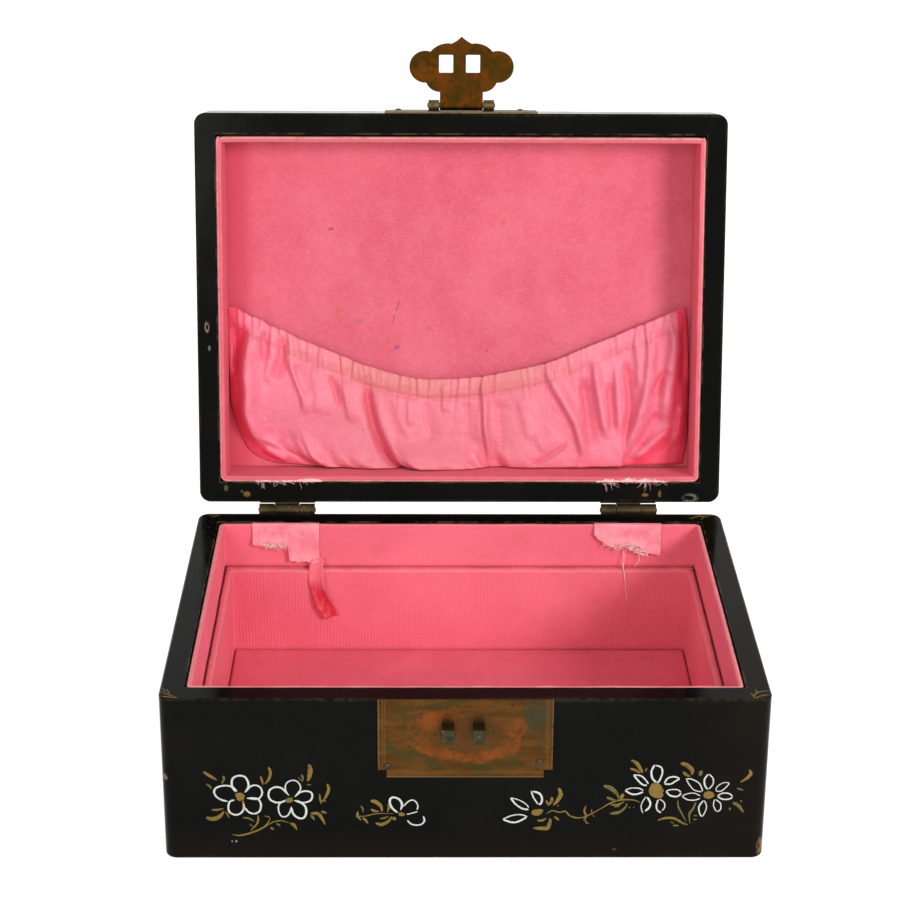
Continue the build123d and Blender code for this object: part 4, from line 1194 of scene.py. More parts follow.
def torn_stub(name, node, centre, tear, finish):
    """A ragged scrap of cloth left on the rim of the lid's rear strip, with loose threads."""
    left, right = centre + tear[0][0], centre + tear[-1][0]
    places = [a for a, b in tear]
    drops = [b for a, b in tear]
    columns, rows = 110, 8
    vertices = []
    for j in range(rows):
        for i in range(columns):
            x = left + (right - left) * i / (columns - 1)
            reach = max(float(np.interp(x - centre, places, drops)) + ragged(x, 1.6), 0.25)
            y = INNER_Y + 0.2 - (reach + 0.2) * j / (rows - 1)
            z = LID_RIM + 0.12 - 0.22 * abs(noise.noise(Vector((x * 0.8, y * 0.8, 3.0))))
            vertices.append(Vector((x, y, z)) * MM)
    surface = grid_faces(columns, rows)
    count = len(vertices)
    vertices += [v + Vector((0, 0, 0.28 * MM)) for v in vertices]
    faces = surface + [tuple(reversed([n + count for n in face])) for face in surface]
    border = grid_border(columns, rows)
    for k in range(len(border)):
        a, b = border[k], border[(k + 1) % len(border)]
        faces.append((b, a, a + count, b + count))
    parts = [(vertices, faces)]
    rng = np.random.default_rng(11 if centre < 0 else 12)
    for k in range(40 if centre < 0 else 50):
        x = left + (right - left) * rng.random()
        y = INNER_Y - 0.4 + rng.random() * 0.9
        z = LID_RIM - 0.08 - 0.08 * rng.random()
        turn = rng.choice((0.15, 3.0, 1.4)) + rng.normal() * 0.35
        run = (1.2 + 3.4 * rng.random() ** 3) * (1.3 if centre > 0 else 0.9)
        line = [Vector((x, y, z)) * MM]
        for n in range(1, 6):
            turn += rng.normal() * 0.35
            x, y = x + run / 5 * math.cos(turn), min(y + run / 5 * math.sin(turn), INNER_Y + 5.2)
            line.append(Vector((x, y, z - 0.025 * n * (n < 4))) * MM)
        parts.append(tube(line, 0.075 * MM, 4))
    piece = gathered_mesh(name, parts, LID_OPEN)
    piece.data.materials.append(finish)
    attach(piece, "lid")
    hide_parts(node)
    return piece


RIBBON_CLOTH = 0.3 * MM
# The ribbon hangs from the left tab: middle, width and twist in degrees, from the top down.
RIBBON = (
    ((-65.3, 74.8, 56.3), 5.8, 0.0), ((-65.8, 73.6, 51.6), 6.6, -8.0), ((-65.8, 72.2, 46.8), 7.6, -20.0),
    ((-65.0, 71.3, 42.2), 7.4, -30.0), ((-63.4, 70.9, 37.2), 7.2, -12.0), ((-61.4, 70.9, 32.6), 6.8, 8.0),
    ((-58.9, 71.1, 28.3), 5.8, 10.0),
)


class JEWELRYBOX_OT_torn_cloth(bpy.types.Operator):
    """Fold the torn cloth ends over the linings, with their ribbon and loose threads"""
    bl_idname = "jewelry_box.torn_cloth"
    bl_label = "Torn Cloth"

    def execute(self, context):
        finish = torn_finish("torn_cloth")
        fray = plain_finish("bare_threads", (0.94, 0.72, 0.66), (0.92, 0.42, 0.44), 500.0, 0.8)
        left = torn_tab("torn_tab_left", "cloth_tab_left", LEFT_HINGE, LEFT_TEAR, 1.8, finish)
        right = torn_tab("torn_tab_right", "cloth_tab_right", RIGHT_HINGE, RIGHT_TEAR, -1.4, finish)
        ribbon = self.ribbon()
        left_fringe = self.fringe("frayed_edge_left", LEFT_HINGE, LEFT_TEAR, (-10.5, 1.4), 170, fray, 5)
        right_fringe = self.fringe("frayed_edge_right", RIGHT_HINGE, RIGHT_TEAR, (-13.0, 8.0), 120, fray, 8)
        threads = self.threads(fray)
        torn_stub("scrap_left", "lid_stub_left", LEFT_HINGE, LEFT_STUB, fray)
        torn_stub("scrap_right", "lid_stub_right", RIGHT_HINGE, RIGHT_STUB, fray)
        return {"FINISHED"}

    def ribbon(self):
        """A narrow strip that twists and curls as it hangs."""
        line = curve_through([p for p, w, a in RIBBON], 9)
        across, along = 11, len(line)
        vertices = []
        for k, middle in enumerate(line):
            t = k / (along - 1) * (len(RIBBON) - 1)
            width = float(np.interp(t, range(len(RIBBON)), [w for p, w, a in RIBBON]))
            twist = math.radians(float(np.interp(t, range(len(RIBBON)), [a for p, w, a in RIBBON])))
            for i in range(across):
                u = i / (across - 1) - 0.5
                frayed = ragged(middle.z * 1.7 + 3 * i, 0.5) if i in (0, across - 1) else 0.0
                out = u * width + frayed
                curl = 1.1 * (u * 2) ** 2 - 0.25
                x = middle.x + out * math.cos(twist) + curl * math.sin(twist)
                y = middle.y + out * math.sin(twist) - curl * 0.7
                z = middle.z + 0.5 * noise.noise(Vector((i * 0.5, k * 0.3, 0.0))) + 0.28 * u * width
                if k == along - 1:
                    z += ragged(i * 2.3, 1.2)
                vertices.append(Vector((x, y, z)) * MM)
        ribbon = mesh_object("hanging_ribbon", vertices, grid_faces(across, along))
        wire = Wiring("ribbon_satin")
        place = wire.place()
        z = wire.split(place)["Z"]
        # Painted shade: the ribbon is deep red below about 45 mm and pink above.
        high = wire.ramp(wire.plus(z, wire.times(wire.noise(place, 200.0), 0.004)), 0.042, 0.049)
        base = wire.mix(high, (0.66, 0.035, 0.060), (0.84, 0.17, 0.23))
        fine = wire.noise(wire.place(False, (1.0, 1.0, 0.1)), 1800.0, 2.0)
        base = wire.mix(wire.ramp(fine, 0.5, 0.8), base, (0.86, 0.20, 0.25))
        wire.link(base, "Base Color")
        wire.link(wire.bump(fine, 0.4, 0.0001), "Normal")
        wire.set(Roughness=0.42, Specular_IOR_Level=0.4)
        ribbon.data.materials.append(wire.material)
        thicken(ribbon, RIBBON_CLOTH)
        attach(ribbon, "base")
        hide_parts("torn_ribbon")
        return ribbon

    def fringe(self, name, centre, tear, span, count, finish, seed):
        """Short bare threads along a torn edge."""
        rng = np.random.default_rng(seed)
        parts = []
        for k in range(count):
            across = span[0] + (span[1] - span[0]) * rng.random()
            drop = float(np.interp(across, [a for a, b in tear], [b for a, b in tear]))
            x = centre + across
            z = UPPER_TOP - drop + 0.5
            lift = 0.5 + 0.5 * noise.noise(Vector((x * 0.28, 3.3, 1.2)))
            y = LINING_Y - 3.1 - 1.9 * lift - 0.7 * rng.random()
            heading = rng.normal() * 1.3
            run = 0.8 + 2.4 * rng.random()
            line = [Vector((x, y, z)) * MM]
            for n in range(5):
                heading += rng.normal() * 0.45
                x += run / 5 * math.sin(heading)
                z -= run / 5 * math.cos(heading)
                y -= 0.12 * rng.random()
                line.append(Vector((x, y, z)) * MM)
            parts.append(tube(line, (0.07 + 0.09 * rng.random()) * MM, 4))
        piece = gathered_mesh(name, parts)
        piece.data.materials.append(finish)
        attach(piece, "base")
        return piece

    def threads(self, finish):
        """Long loose threads that hang from the right tab, with a tangled knot."""
        thread = sizes().thread
        lines = [
            ((74.4, 75.2, 63.0), (74.9, 74.8, 59.0), (74.6, 73.4, 54.5), (75.3, 72.9, 50.2),
             (76.0, 72.6, 45.5), (76.2, 72.8, 41.0), (77.3, 72.8, 36.2)),
            ((75.4, 75.2, 62.6), (75.6, 74.6, 57.5), (75.0, 73.6, 52.5), (75.6, 72.9, 48.0)),
            ((79.0, 75.0, 62.0), (81.4, 74.4, 59.2), (82.2, 73.9, 56.4), (80.9, 73.6, 53.6),
             (80.0, 73.4, 53.0)),
            ((76.4, 75.0, 62.6), (78.4, 74.4, 61.6), (81.0, 74.2, 60.6), (83.2, 74.4, 59.2)),
        ]
        parts = [tube([p * MM for p in curve_through(line, 6)], thread * (1.25 if n == 0 else 1.0), 6)
                 for n, line in enumerate(lines)]
        rng = np.random.default_rng(21)
        for k in range(38):
            along = rng.random()
            centre = Vector((76.8 + 8.4 * along, 74.0 - 1.6 * rng.random(),
                             62.8 - 3.4 * along + rng.normal() * 0.6))
            line = [centre + Vector((rng.normal() * 0.9, -0.3 * rng.random(),
                                     rng.normal() * 0.45)) for n in range(5)]
            parts.append(tube([p * MM for p in curve_through(line, 4)], 0.12 * MM, 5))
        piece = gathered_mesh("loose_threads", parts)
        piece.data.materials.append(plain_finish("pale_thread", (0.92, 0.80, 0.72), (0.90, 0.50, 0.50),
                                                 400.0, 0.8))
        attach(piece, "base")
        return piece


# Nails and stitches

def tree_maths(tree, operation, source, value):
    """A maths node of a tree, from a socket and either a number or another socket."""
    made = tree.nodes.new("ShaderNodeMath")
    made.operation = operation
    tree.links.new(source, made.inputs[0])
    if isinstance(value, float):
        made.inputs[1].default_value = value
    else:
        tree.links.new(value, made.inputs[1])
    return made.outputs[0]


def closed_tree(tree, instances, given):
    """End a tree: its instances are made real and smooth and take their finish."""
    add, link = tree.nodes.new, tree.links.new
    real = add("GeometryNodeRealizeInstances")
    link(instances.outputs[0], real.inputs[0])
    soft = add("GeometryNodeSetShadeSmooth")
    link(real.outputs[0], soft.inputs[0])
    finish = add("GeometryNodeSetMaterial")
    link(soft.outputs[0], finish.inputs["Geometry"])
    link(given["Finish"], finish.inputs["Material"])
    link(finish.outputs[0], add("NodeGroupOutput").inputs[0])
    return tree


def nail_tree():
    """A domed nail on a shank at every given point, turned with its face."""
    tree = bpy.data.node_groups.new("brass_nails", "GeometryNodeTree")
    face = tree.interface
    face.new_socket("Points", in_out="INPUT", socket_type="NodeSocketGeometry")
    for name, value in (("Head Radius", 0.0015), ("Head Height", 0.0007), ("Shank", 0.005)):
        socket = face.new_socket(name, in_out="INPUT", socket_type="NodeSocketFloat")
        socket.default_value = value
    face.new_socket("Turn", in_out="INPUT", socket_type="NodeSocketVector")
    face.new_socket("Finish", in_out="INPUT", socket_type="NodeSocketMaterial")
    face.new_socket("Nails", in_out="OUTPUT", socket_type="NodeSocketGeometry")
    add, link = tree.nodes.new, tree.links.new
    given = add("NodeGroupInput").outputs
    head = add("GeometryNodeMeshUVSphere")
    head.inputs["Segments"].default_value = 28
    head.inputs["Rings"].default_value = 14
    head.inputs["Radius"].default_value = 1.0
    place = add("GeometryNodeInputPosition")
    split = add("ShaderNodeSeparateXYZ")
    link(place.outputs[0], split.inputs[0])
    flat = tree_maths(tree, "MAXIMUM", split.outputs["Z"], -0.06)
    joined = add("ShaderNodeCombineXYZ")
    for source, size, axis in ((split.outputs["X"], "Head Radius", "X"),
                               (split.outputs["Y"], "Head Radius", "Y"), (flat, "Head Height", "Z")):
        link(tree_maths(tree, "MULTIPLY", source, given[size]), joined.inputs[axis])
    shaped = add("GeometryNodeSetPosition")
    link(head.outputs["Mesh"], shaped.inputs["Geometry"])
    link(joined.outputs[0], shaped.inputs["Position"])
    shank = add("GeometryNodeMeshCylinder")
    shank.inputs["Vertices"].default_value = 10
    link(tree_maths(tree, "MULTIPLY", given["Head Radius"], 0.3), shank.inputs["Radius"])
    link(given["Shank"], shank.inputs["Depth"])
    shift = add("ShaderNodeCombineXYZ")
    link(tree_maths(tree, "MULTIPLY", given["Shank"], -0.5), shift.inputs["Z"])
    sunk = add("GeometryNodeTransform")
    link(shank.outputs["Mesh"], sunk.inputs["Geometry"])
    link(shift.outputs[0], sunk.inputs["Translation"])
    whole = add("GeometryNodeJoinGeometry")
    link(sunk.outputs[0], whole.inputs[0])
    link(shaped.outputs[0], whole.inputs[0])
    uneven = add("FunctionNodeRandomValue")
    uneven.data_type = "FLOAT"
    uneven.inputs["Min"].default_value = 0.93
    uneven.inputs["Max"].default_value = 1.0
    uneven.inputs["Seed"].default_value = 4
    nails = add("GeometryNodeInstanceOnPoints")
    link(given["Points"], nails.inputs["Points"])
    link(whole.outputs[0], nails.inputs["Instance"])
    link(given["Turn"], nails.inputs["Rotation"])
    link(uneven.outputs[1], nails.inputs["Scale"])
    return closed_tree(tree, nails, given)


def stitch_tree():
    """Equal stitches along a line of points."""
    tree = bpy.data.node_groups.new("running_stitch", "GeometryNodeTree")
    face = tree.interface
    face.new_socket("Line", in_out="INPUT", socket_type="NodeSocketGeometry")
    count = face.new_socket("Stitches", in_out="INPUT", socket_type="NodeSocketInt")
    count.default_value = 60
    for name, value in (("Length", 0.0018), ("Thread", 0.00018)):
        socket = face.new_socket(name, in_out="INPUT", socket_type="NodeSocketFloat")
        socket.default_value = value
    face.new_socket("Finish", in_out="INPUT", socket_type="NodeSocketMaterial")
    face.new_socket("Seam", in_out="OUTPUT", socket_type="NodeSocketGeometry")
    add, link = tree.nodes.new, tree.links.new
    given = add("NodeGroupInput").outputs
    curve = add("GeometryNodeMeshToCurve")
    link(given["Line"], curve.inputs["Mesh"])
    points = add("GeometryNodeCurveToPoints")
    points.mode = "COUNT"
    link(curve.outputs[0], points.inputs["Curve"])
    link(given["Stitches"], points.inputs["Count"])
    stitch = add("GeometryNodeMeshUVSphere")
    stitch.inputs["Segments"].default_value = 7
    stitch.inputs["Rings"].default_value = 5
    stitch.inputs["Radius"].default_value = 1.0
    shape = add("ShaderNodeCombineXYZ")
    link(given["Thread"], shape.inputs["X"])
    link(given["Thread"], shape.inputs["Y"])
    link(tree_maths(tree, "MULTIPLY", given["Length"], 0.5), shape.inputs["Z"])
    seam = add("GeometryNodeInstanceOnPoints")
    link(points.outputs["Points"], seam.inputs["Points"])
    link(stitch.outputs["Mesh"], seam.inputs["Instance"])
    link(points.outputs["Rotation"], seam.inputs["Rotation"])
    link(shape.outputs[0], seam.inputs["Scale"])
    return closed_tree(tree, seam, given)


def made_by_tree(name, tree, vertices, edges, values):
    """Run a tree on points or edges and keep its result as a plain mesh."""
    source = bpy.data.meshes.new(name + "_points")
    source.from_pydata([tuple(v) for v in vertices], edges, [])
    piece = bpy.data.objects.new(name, source)
    bpy.context.scene.collection.objects.link(piece)
    modifier = piece.modifiers.new("tree", "NODES")
    modifier.node_group = tree
    for item in tree.interface.items_tree:
        if item.name in values and item.in_out == "INPUT":
            modifier[item.identifier] = values[item.name]
    graph = bpy.context.evaluated_depsgraph_get()
    mesh = bpy.data.meshes.new_from_object(piece.evaluated_get(graph))
    if not mesh.polygons:
        raise RuntimeError(f"{name} came out empty")
    piece.modifiers.remove(modifier)
    piece.data = mesh
    bpy.data.meshes.remove(source)
    return piece


class JEWELRYBOX_OT_nails(bpy.types.Operator):
    """Drive the domed brass nails of the hinges, the hasp plate and the lock plate"""
    bl_idname = "jewelry_box.nails"
    bl_label = "Nails"

    def execute(self, context):
        tree = nail_tree()
        finish = brass_finish("nail_brass", (0.060, 0.048, 0.034), (0.045, 0.034, 0.022),
                              (0.018, 0.014, 0.012), pale=0.2, metal=1.0)
        leaf, plate = 1.0, 0.8
        columns = [x + side * 8.55 for x in (LEFT_HINGE, RIGHT_HINGE) for side in (-1, 1)]
        rear, front = HALF_DEPTH + leaf, -HALF_DEPTH - plate
        groups = (
            ("base_hinge_nail_heads", "base_hinge_nails", "base", [(x, rear, 62.1) for x in columns],
             IN_PLACE),
            ("lid_hinge_nail_heads", "lid_hinge_nails", "lid", [(x, rear, 83.3) for x in columns], LID_OPEN),
            ("lock_plate_nail_heads", "lock_plate_nails", "base", [(-30.9, front, 42.9), (29.0, front, 44.6)],
             IN_PLACE),
            ("hasp_plate_nail_heads", "hasp_plate_nails", "lid", [(-28.5, front, 94.7), (27.2, front, 94.1)],
             LID_OPEN),
        )
        for name, node, body, places, turn in groups:
            outward = Vector((0, 1 if places[0][1] > 0 else -1, 0))
            facing = (turn.to_3x3() @ outward).to_track_quat("Z", "Y").to_euler()
            points = [turn @ (Vector(p) * MM) for p in places]
            piece = made_by_tree(name, tree, points, [], {
                "Head Radius": sizes().nail_head, "Head Height": sizes().nail_dome, "Shank": 0.005,
                "Turn": facing[:], "Finish": finish})
            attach(piece, body)
            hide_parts(node)
        return {"FINISHED"}


# Painted flowers. The middle line of each stroke was read off an enlarged crop of the photograph, in
# the crop's own pixels, across and down from its corner. The four crops begin at the pixels (195, 755),
# (355, 780), (490, 775) and (600, 750) of the photograph and are enlarged 10, 15, 12 and 10 times. A sheet is
# a crop's corner on the front board (across and up), the size of its pixel (across and down) and its lean,
# in millimetres. A stroke has its widest width in the crop's pixels and its line.
LEFT_SPRAY = ((-106.4, 47.6), (0.0396, 0.0457), -0.0017)
HALF_FLOWER = ((-43.6, 36.3), (0.0265, 0.0306), -0.0003)
HALF_DAISY = ((9.9, 38.6), (0.0332, 0.0383), 0.0004)
RIGHT_SPRAY = ((53.1, 49.8), (0.0397, 0.0457), 0.0014)

PETALS = (
    (LEFT_SPRAY, (
        (30, (408, 368, 372, 305, 378, 236, 430, 206, 498, 216, 532, 270, 534, 325, 500, 372)),
        (28, (425, 362, 372, 316, 300, 303, 222, 322, 194, 362, 216, 412, 270, 446, 332, 460)),
        (28, (402, 446, 354, 462, 338, 512, 352, 570, 410, 596, 468, 575, 494, 522, 482, 462)),
        (28, (500, 520, 542, 568, 602, 584, 652, 556, 664, 492, 638, 442, 590, 428, 520, 432)),
        (26, (522, 352, 556, 312, 610, 300, 658, 326, 674, 380, 648, 428, 600, 438, 522, 426)),
        (20, (944, 405, 908, 350, 910, 290, 952, 256, 1010, 256, 1052, 300, 1052, 350, 1010, 400)),
        (28, (922, 386, 872, 332, 810, 318, 752, 346, 738, 400, 762, 448, 820, 472, 880, 465, 916, 446)),
        (22, (882, 460, 842, 500, 846, 570, 880, 614, 930, 605, 958, 560, 970, 512)),
        (32, (970, 520, 985, 578, 1030, 622, 1085, 630, 1116, 590, 1112, 520, 1060, 472, 995, 452)),
        (28, (1000, 416, 1050, 372, 1110, 358, 1162, 372, 1176, 410, 1158, 452, 1100, 473, 1060, 468)),
        (12, (374, 860, 384, 868)))),
    (HALF_FLOWER, (
        (48, (645, 490, 560, 420, 522, 332, 540, 272, 600, 262, 668, 294, 708, 368, 684, 450)),
        (30, (722, 400, 800, 322, 870, 300, 926, 342, 944, 400, 930, 446)),
        (26, (940, 472, 860, 495, 776, 516)),
        (34, (788, 602, 840, 655, 910, 676, 1000, 664, 1044, 610, 1028, 540)))),
    (HALF_DAISY, (
        (32, (244, 272, 300, 346, 385, 402, 460, 412)),
        (20, (250, 272, 350, 302, 430, 350, 460, 390)),
        (26, (488, 192, 518, 270, 572, 350)),
        (36, (505, 194, 590, 224, 620, 288, 606, 340, 580, 352)),
        (24, (152, 530, 250, 488, 360, 474, 445, 500)),
        (34, (152, 532, 250, 565, 330, 560, 440, 506)))),
    (RIGHT_SPRAY, (
        (28, (540, 145, 508, 210, 518, 280, 555, 318)),
        (24, (548, 150, 605, 172, 616, 230, 585, 308, 560, 318)),
        (25, (788, 282, 740, 264, 672, 278, 638, 330)),
        (24, (638, 336, 700, 336, 748, 308, 788, 286)),
        (18, (656, 406, 700, 393, 768, 393, 806, 420)),
        (26, (656, 410, 700, 452, 768, 460, 806, 428)),
        (18, (592, 486, 638, 522, 642, 570, 615, 604)),
        (24, (580, 490, 560, 550, 572, 600, 608, 624)),
        (30, (466, 466, 498, 520, 488, 570, 446, 608)),
        (15, (457, 460, 418, 520, 407, 572, 426, 630)),
        (18, (246, 398, 300, 378, 380, 378, 428, 400)),
        (27, (246, 402, 310, 436, 370, 436, 428, 414)),
        (22, (328, 246, 400, 254, 448, 292, 478, 334)),
        (26, (332, 248, 374, 300, 420, 342, 464, 350)),
        (24, (1075, 237, 1038, 290, 1043, 350, 1070, 390)),
        (18, (1080, 237, 1122, 280, 1122, 340, 1080, 388)),
        (14, (1288, 326, 1230, 323, 1168, 360, 1152, 400)),
        (17, (1288, 328, 1250, 374, 1200, 408, 1152, 404)),
        (20, (1172, 456, 1220, 428, 1288, 432, 1322, 460)),
        (22, (1172, 460, 1220, 487, 1288, 487, 1322, 464)),
        (16, (1142, 490, 1133, 550, 1160, 610)),
        (18, (1150, 490, 1202, 530, 1203, 590, 1166, 614)),
        (20, (1032, 500, 988, 560, 992, 620, 1015, 664)),
        (16, (1040, 500, 1063, 560, 1048, 620, 1020, 664)),
        (16, (816, 456, 870, 433, 940, 428, 998, 456)),
        (18, (816, 460, 870, 492, 940, 497, 998, 480)),
        (19, (852, 286, 910, 288, 988, 332, 1022, 410)),
        (16, (856, 290, 892, 350, 940, 398, 1012, 414)))),
)
OCHRE = (
    (LEFT_SPRAY, (
        (40, (905, 446, 945, 456, 985, 446)), (22, (925, 425, 950, 440, 978, 420)),
        (58, (410, 412, 452, 400, 500, 412)), (44, (420, 428, 460, 434, 496, 426)),
        (20, (484, 450, 488, 500, 482, 540)),
        (28, (730, 118, 754, 170, 738, 240, 696, 290)), (20, (656, 210, 670, 250, 682, 296)),
        (28, (1322, 284, 1338, 340, 1314, 410, 1284, 452)), (18, (1250, 384, 1254, 440, 1272, 488)),
        (14, (1262, 452, 1318, 460)), (18, (372, 790, 450, 804, 560, 780, 680, 730, 740, 670, 760, 622)),
        (10, (760, 620, 700, 606)), (18, (638, 600, 630, 680, 560, 758)),
        (34, (1160, 582, 1232, 584, 1272, 622, 1314, 698)),
        (12, (690, 730, 780, 672, 870, 655, 960, 680)))),
    (HALF_FLOWER, (
        (58, (655, 505, 700, 512, 752, 520)), (56, (232, 318, 300, 322, 388, 390, 408, 478)),
        (34, (240, 434, 290, 462, 364, 470)), (35, (500, 352, 512, 400, 486, 488)),
        (52, (308, 642, 400, 666, 500, 620, 558, 542)),
        (15, (0, 542, 150, 540, 300, 506, 420, 500, 600, 502)),
        (34, (46, 464, 42, 540, 98, 606)), (34, (112, 562, 160, 600, 198, 656)))),
    (HALF_DAISY, (
        (72, (496, 462, 560, 442, 636, 424)), (46, (816, 152, 842, 232, 802, 310, 752, 362)),
        (18, (662, 470, 740, 428, 830, 446, 900, 436, 960, 490, 1070, 514, 1200, 472, 1340, 392, 1480, 312)),
        (50, (512, 636, 620, 640, 688, 634, 718, 560, 715, 516)), (10, (1215, 412, 1216, 460)),
        (10, (1232, 480, 1250, 504)), (12, (800, 366, 824, 370)))),
    (RIGHT_SPRAY, (
        (120, (482, 395, 550, 400, 632, 405)), (60, (500, 360, 560, 352, 610, 380)),
        (60, (510, 436, 580, 450, 628, 436)),
        (74, (1030, 448, 1085, 446, 1140, 450)), (32, (1482, 194, 1498, 232, 1458, 280, 1392, 320)),
        (25, (572, 702, 650, 678, 740, 682, 830, 730, 880, 744)),
        (16, (0, 586, 90, 532, 200, 496, 330, 496, 400, 524)),
        (35, (230, 432, 200, 488)), (18, (102, 545, 180, 540, 240, 512)))),
)
OLIVE = (
    (LEFT_SPRAY, (
        (22, (282, 204, 291, 240, 269, 288)), (20, (1060, 192, 1076, 222, 1075, 264)),
        (10, (1032, 216, 1068, 264)),
        (26, (1266, 560, 1328, 580)), (25, (1166, 596, 1204, 648)), (20, (482, 626, 540, 630, 604, 664)),
        (14, (552, 690, 588, 714)), (24, (762, 720, 798, 748)), (20, (822, 682, 862, 708)),
        (12, (1118, 292, 1164, 296)))),
    (HALF_FLOWER, (
        (26, (372, 576, 440, 570, 508, 541)), (24, (82, 384, 120, 430, 116, 488)))),
    (HALF_DAISY, (
        (35, (1348, 128, 1430, 146, 1508, 210, 1534, 288)), (22, (1388, 266, 1440, 280, 1498, 308)),
        (20, (1482, 380, 1558, 370)), (25, (1432, 464, 1500, 450, 1558, 430)))),
    (RIGHT_SPRAY, (
        (18, (462, 176, 446, 214)), (34, (1006, 202, 990, 258)), (18, (1362, 376, 1430, 400)),
        (34, (1322, 522, 1380, 550, 1438, 622)), (20, (1400, 505, 1418, 510)), (18, (1290, 572, 1305, 600)),
        (16, (776, 492, 780, 560, 820, 640, 866, 718)), (20, (958, 512, 930, 580, 892, 640, 900, 738)),
        (15, (702, 716, 740, 730)), (20, (728, 751, 790, 755)), (14, (932, 652, 974, 655)),
        (14, (932, 690, 970, 694)),
        (30, (28, 358, 100, 386, 168, 440, 180, 488)), (20, (62, 472, 110, 490, 170, 500)),
        (22, (108, 638, 180, 624, 248, 570, 268, 522)), (18, (286, 568, 296, 576)),
        (14, (332, 568, 340, 574)))),
)
ORANGE = (
    (LEFT_SPRAY, (
        (30, (84, 164, 150, 206, 224, 250)), (20, (112, 286, 150, 310, 166, 338)),
        (44, (1136, 90, 1150, 150, 1140, 220, 1126, 262)), (42, (114, 620, 180, 638, 248, 614, 298, 556)),
        (20, (168, 546, 230, 545, 294, 531)), (14, (312, 562, 348, 628)),
        (30, (960, 682, 1000, 700, 1030, 752)))),
    (HALF_FLOWER, ((52, (566, 560, 618, 598)),)),
    (HALF_DAISY, (
        (40, (520, 478, 580, 462, 622, 446)), (34, (735, 262, 734, 310, 692, 368)),
        (24, (668, 302, 698, 366)),
        (26, (1150, 362, 1128, 430, 1150, 490, 1132, 530, 1160, 574, 1188, 580)),
        (28, (562, 545, 620, 545, 678, 516)),
        (24, (768, 496, 828, 544)))),
    (RIGHT_SPRAY, (
        (34, (304, 98, 360, 130, 400, 190, 420, 228)), (24, (294, 182, 350, 200, 398, 229)),
        (44, (794, 128, 860, 150, 912, 200, 908, 246)), (28, (822, 212, 860, 248, 898, 260)))),
)
# Strokes on the rim of the base, as (across, along) places in millimetres
RIM_STROKES = (
    (0.7, ((112.4, -88.2), (113.4, -84.6), (116.4, -82.6), (119.0, -82.4))),
    (0.8, ((113.0, -88.4), (115.4, -86.2), (118.8, -85.4))), (0.5, ((112.6, -87.0), (111.6, -83.8))),
    (0.5, ((114.6, -84.2), (113.6, -80.6))), (0.6, ((-119.2, -83.2), (-115.6, -85.6), (-112.4, -88.0))),
    (0.7, ((-118.8, -86.8), (-115.0, -87.4), (-112.0, -88.4))), (0.5, ((-117.4, -80.8), (-115.4, -85.0))),
    (0.5, ((-119.0, -79.8), (-117.2, -83.6))), (0.8, ((105.5, 83.4), (109.8, 85.8), (114.6, 85.0))),
    (0.6, ((108.0, 87.6), (112.0, 86.4), (116.8, 87.4))), (0.5, ((110.6, 82.2), (112.4, 85.4))),
    (0.5, ((-113.8, 84.6), (-110.2, 87.0))), (0.5, ((-116.0, 86.6), (-111.6, 87.8))),
)


def brush_stroke(points, width, outward, side_of, taper):
    """A low ridge of paint that follows a line on a flat face and thins out at its ends."""
    height = sizes().paint
    rings = []
    last = len(points) - 1
    for k, point in enumerate(points):
        along = (points[min(k + 1, last)] - points[max(k - 1, 0)]).normalized()
        side = along.cross(outward).normalized()
        t = k / last
        swell = math.sin(math.pi * min(max(t, 0.0), 1.0) ** side_of) ** 0.75 if taper else 1.0
        ends = min(1.0, min(t, 1 - t) / 0.10 + 0.25)
        half = 0.5 * width * (0.12 + 0.88 * swell) * ends
        half *= 1 + 0.16 * noise.noise(point * 900.0)
        rings.append([point - side * half - outward * 0.00003,
                      point - side * half * 0.7 + outward * height * 0.6,
                      point + outward * height, point + side * half * 0.7 + outward * height * 0.6,
                      point + side * half - outward * 0.00003, point - outward * 0.00006])
    return swept(rings)


class JEWELRYBOX_OT_paint(bpy.types.Operator):
    """Paint the flowers on the front and the strokes at the rim's corners"""
    bl_idname = "jewelry_box.paint"
    bl_label = "Painted Flowers"

    def execute(self, context):
        white = paint_finish("white_paint", tuple(colours().white_paint), (0.42, 0.42, 0.40))
        gold = tuple(colours().gold_paint)
        ochre = paint_finish("ochre_paint", gold, shade(gold, 0.55), 500.0)
        olive = paint_finish("olive_paint", (0.120, 0.098, 0.022), (0.050, 0.042, 0.012), 500.0)
        orange = paint_finish("orange_paint", (0.185, 0.108, 0.018), (0.085, 0.044, 0.010), 500.0)
        for name, sprays, finish, taper in (("white_petals", PETALS, white, False),
                                            ("ochre_leaves", OCHRE, ochre, True),
                                            ("olive_leaves", OLIVE, olive, True),
                                            ("orange_leaves", ORANGE, orange, True)):
            parts = []
            for (corner, unit, lean), strokes in sprays:
                for width, flat in strokes:
                    line = []
                    for u, v in zip(flat[0::2], flat[1::2]):
                        across = corner[0] + unit[0] * u + lean * v
                        line.append(Vector((across, -HALF_DEPTH, corner[1] - unit[1] * v)) * MM)
                    fine = curve_through(line, 8)
                    wide = width * unit[0] * (1.3 if taper else 0.8) * MM
                    parts.append(brush_stroke(fine, wide, Vector((0, -1, 0)), 0.8, taper))
            if name == "ochre_leaves":
                for width, places in RIM_STROKES:
                    line = curve_through([Vector((x, y, BASE_RIM)) * MM for x, y in places], 8)
                    parts.append(brush_stroke(line, width * MM, Vector((0, 0, 1)), 0.8, True))
            piece = gathered_mesh(name, parts)
            piece.data.materials.append(finish)
            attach(piece, "base")
        return {"FINISHED"}


# Brass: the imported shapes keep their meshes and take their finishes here

def take_finish(name, finish):
    for slot in frame["nodes"][name].material_slots:
        slot.material = finish


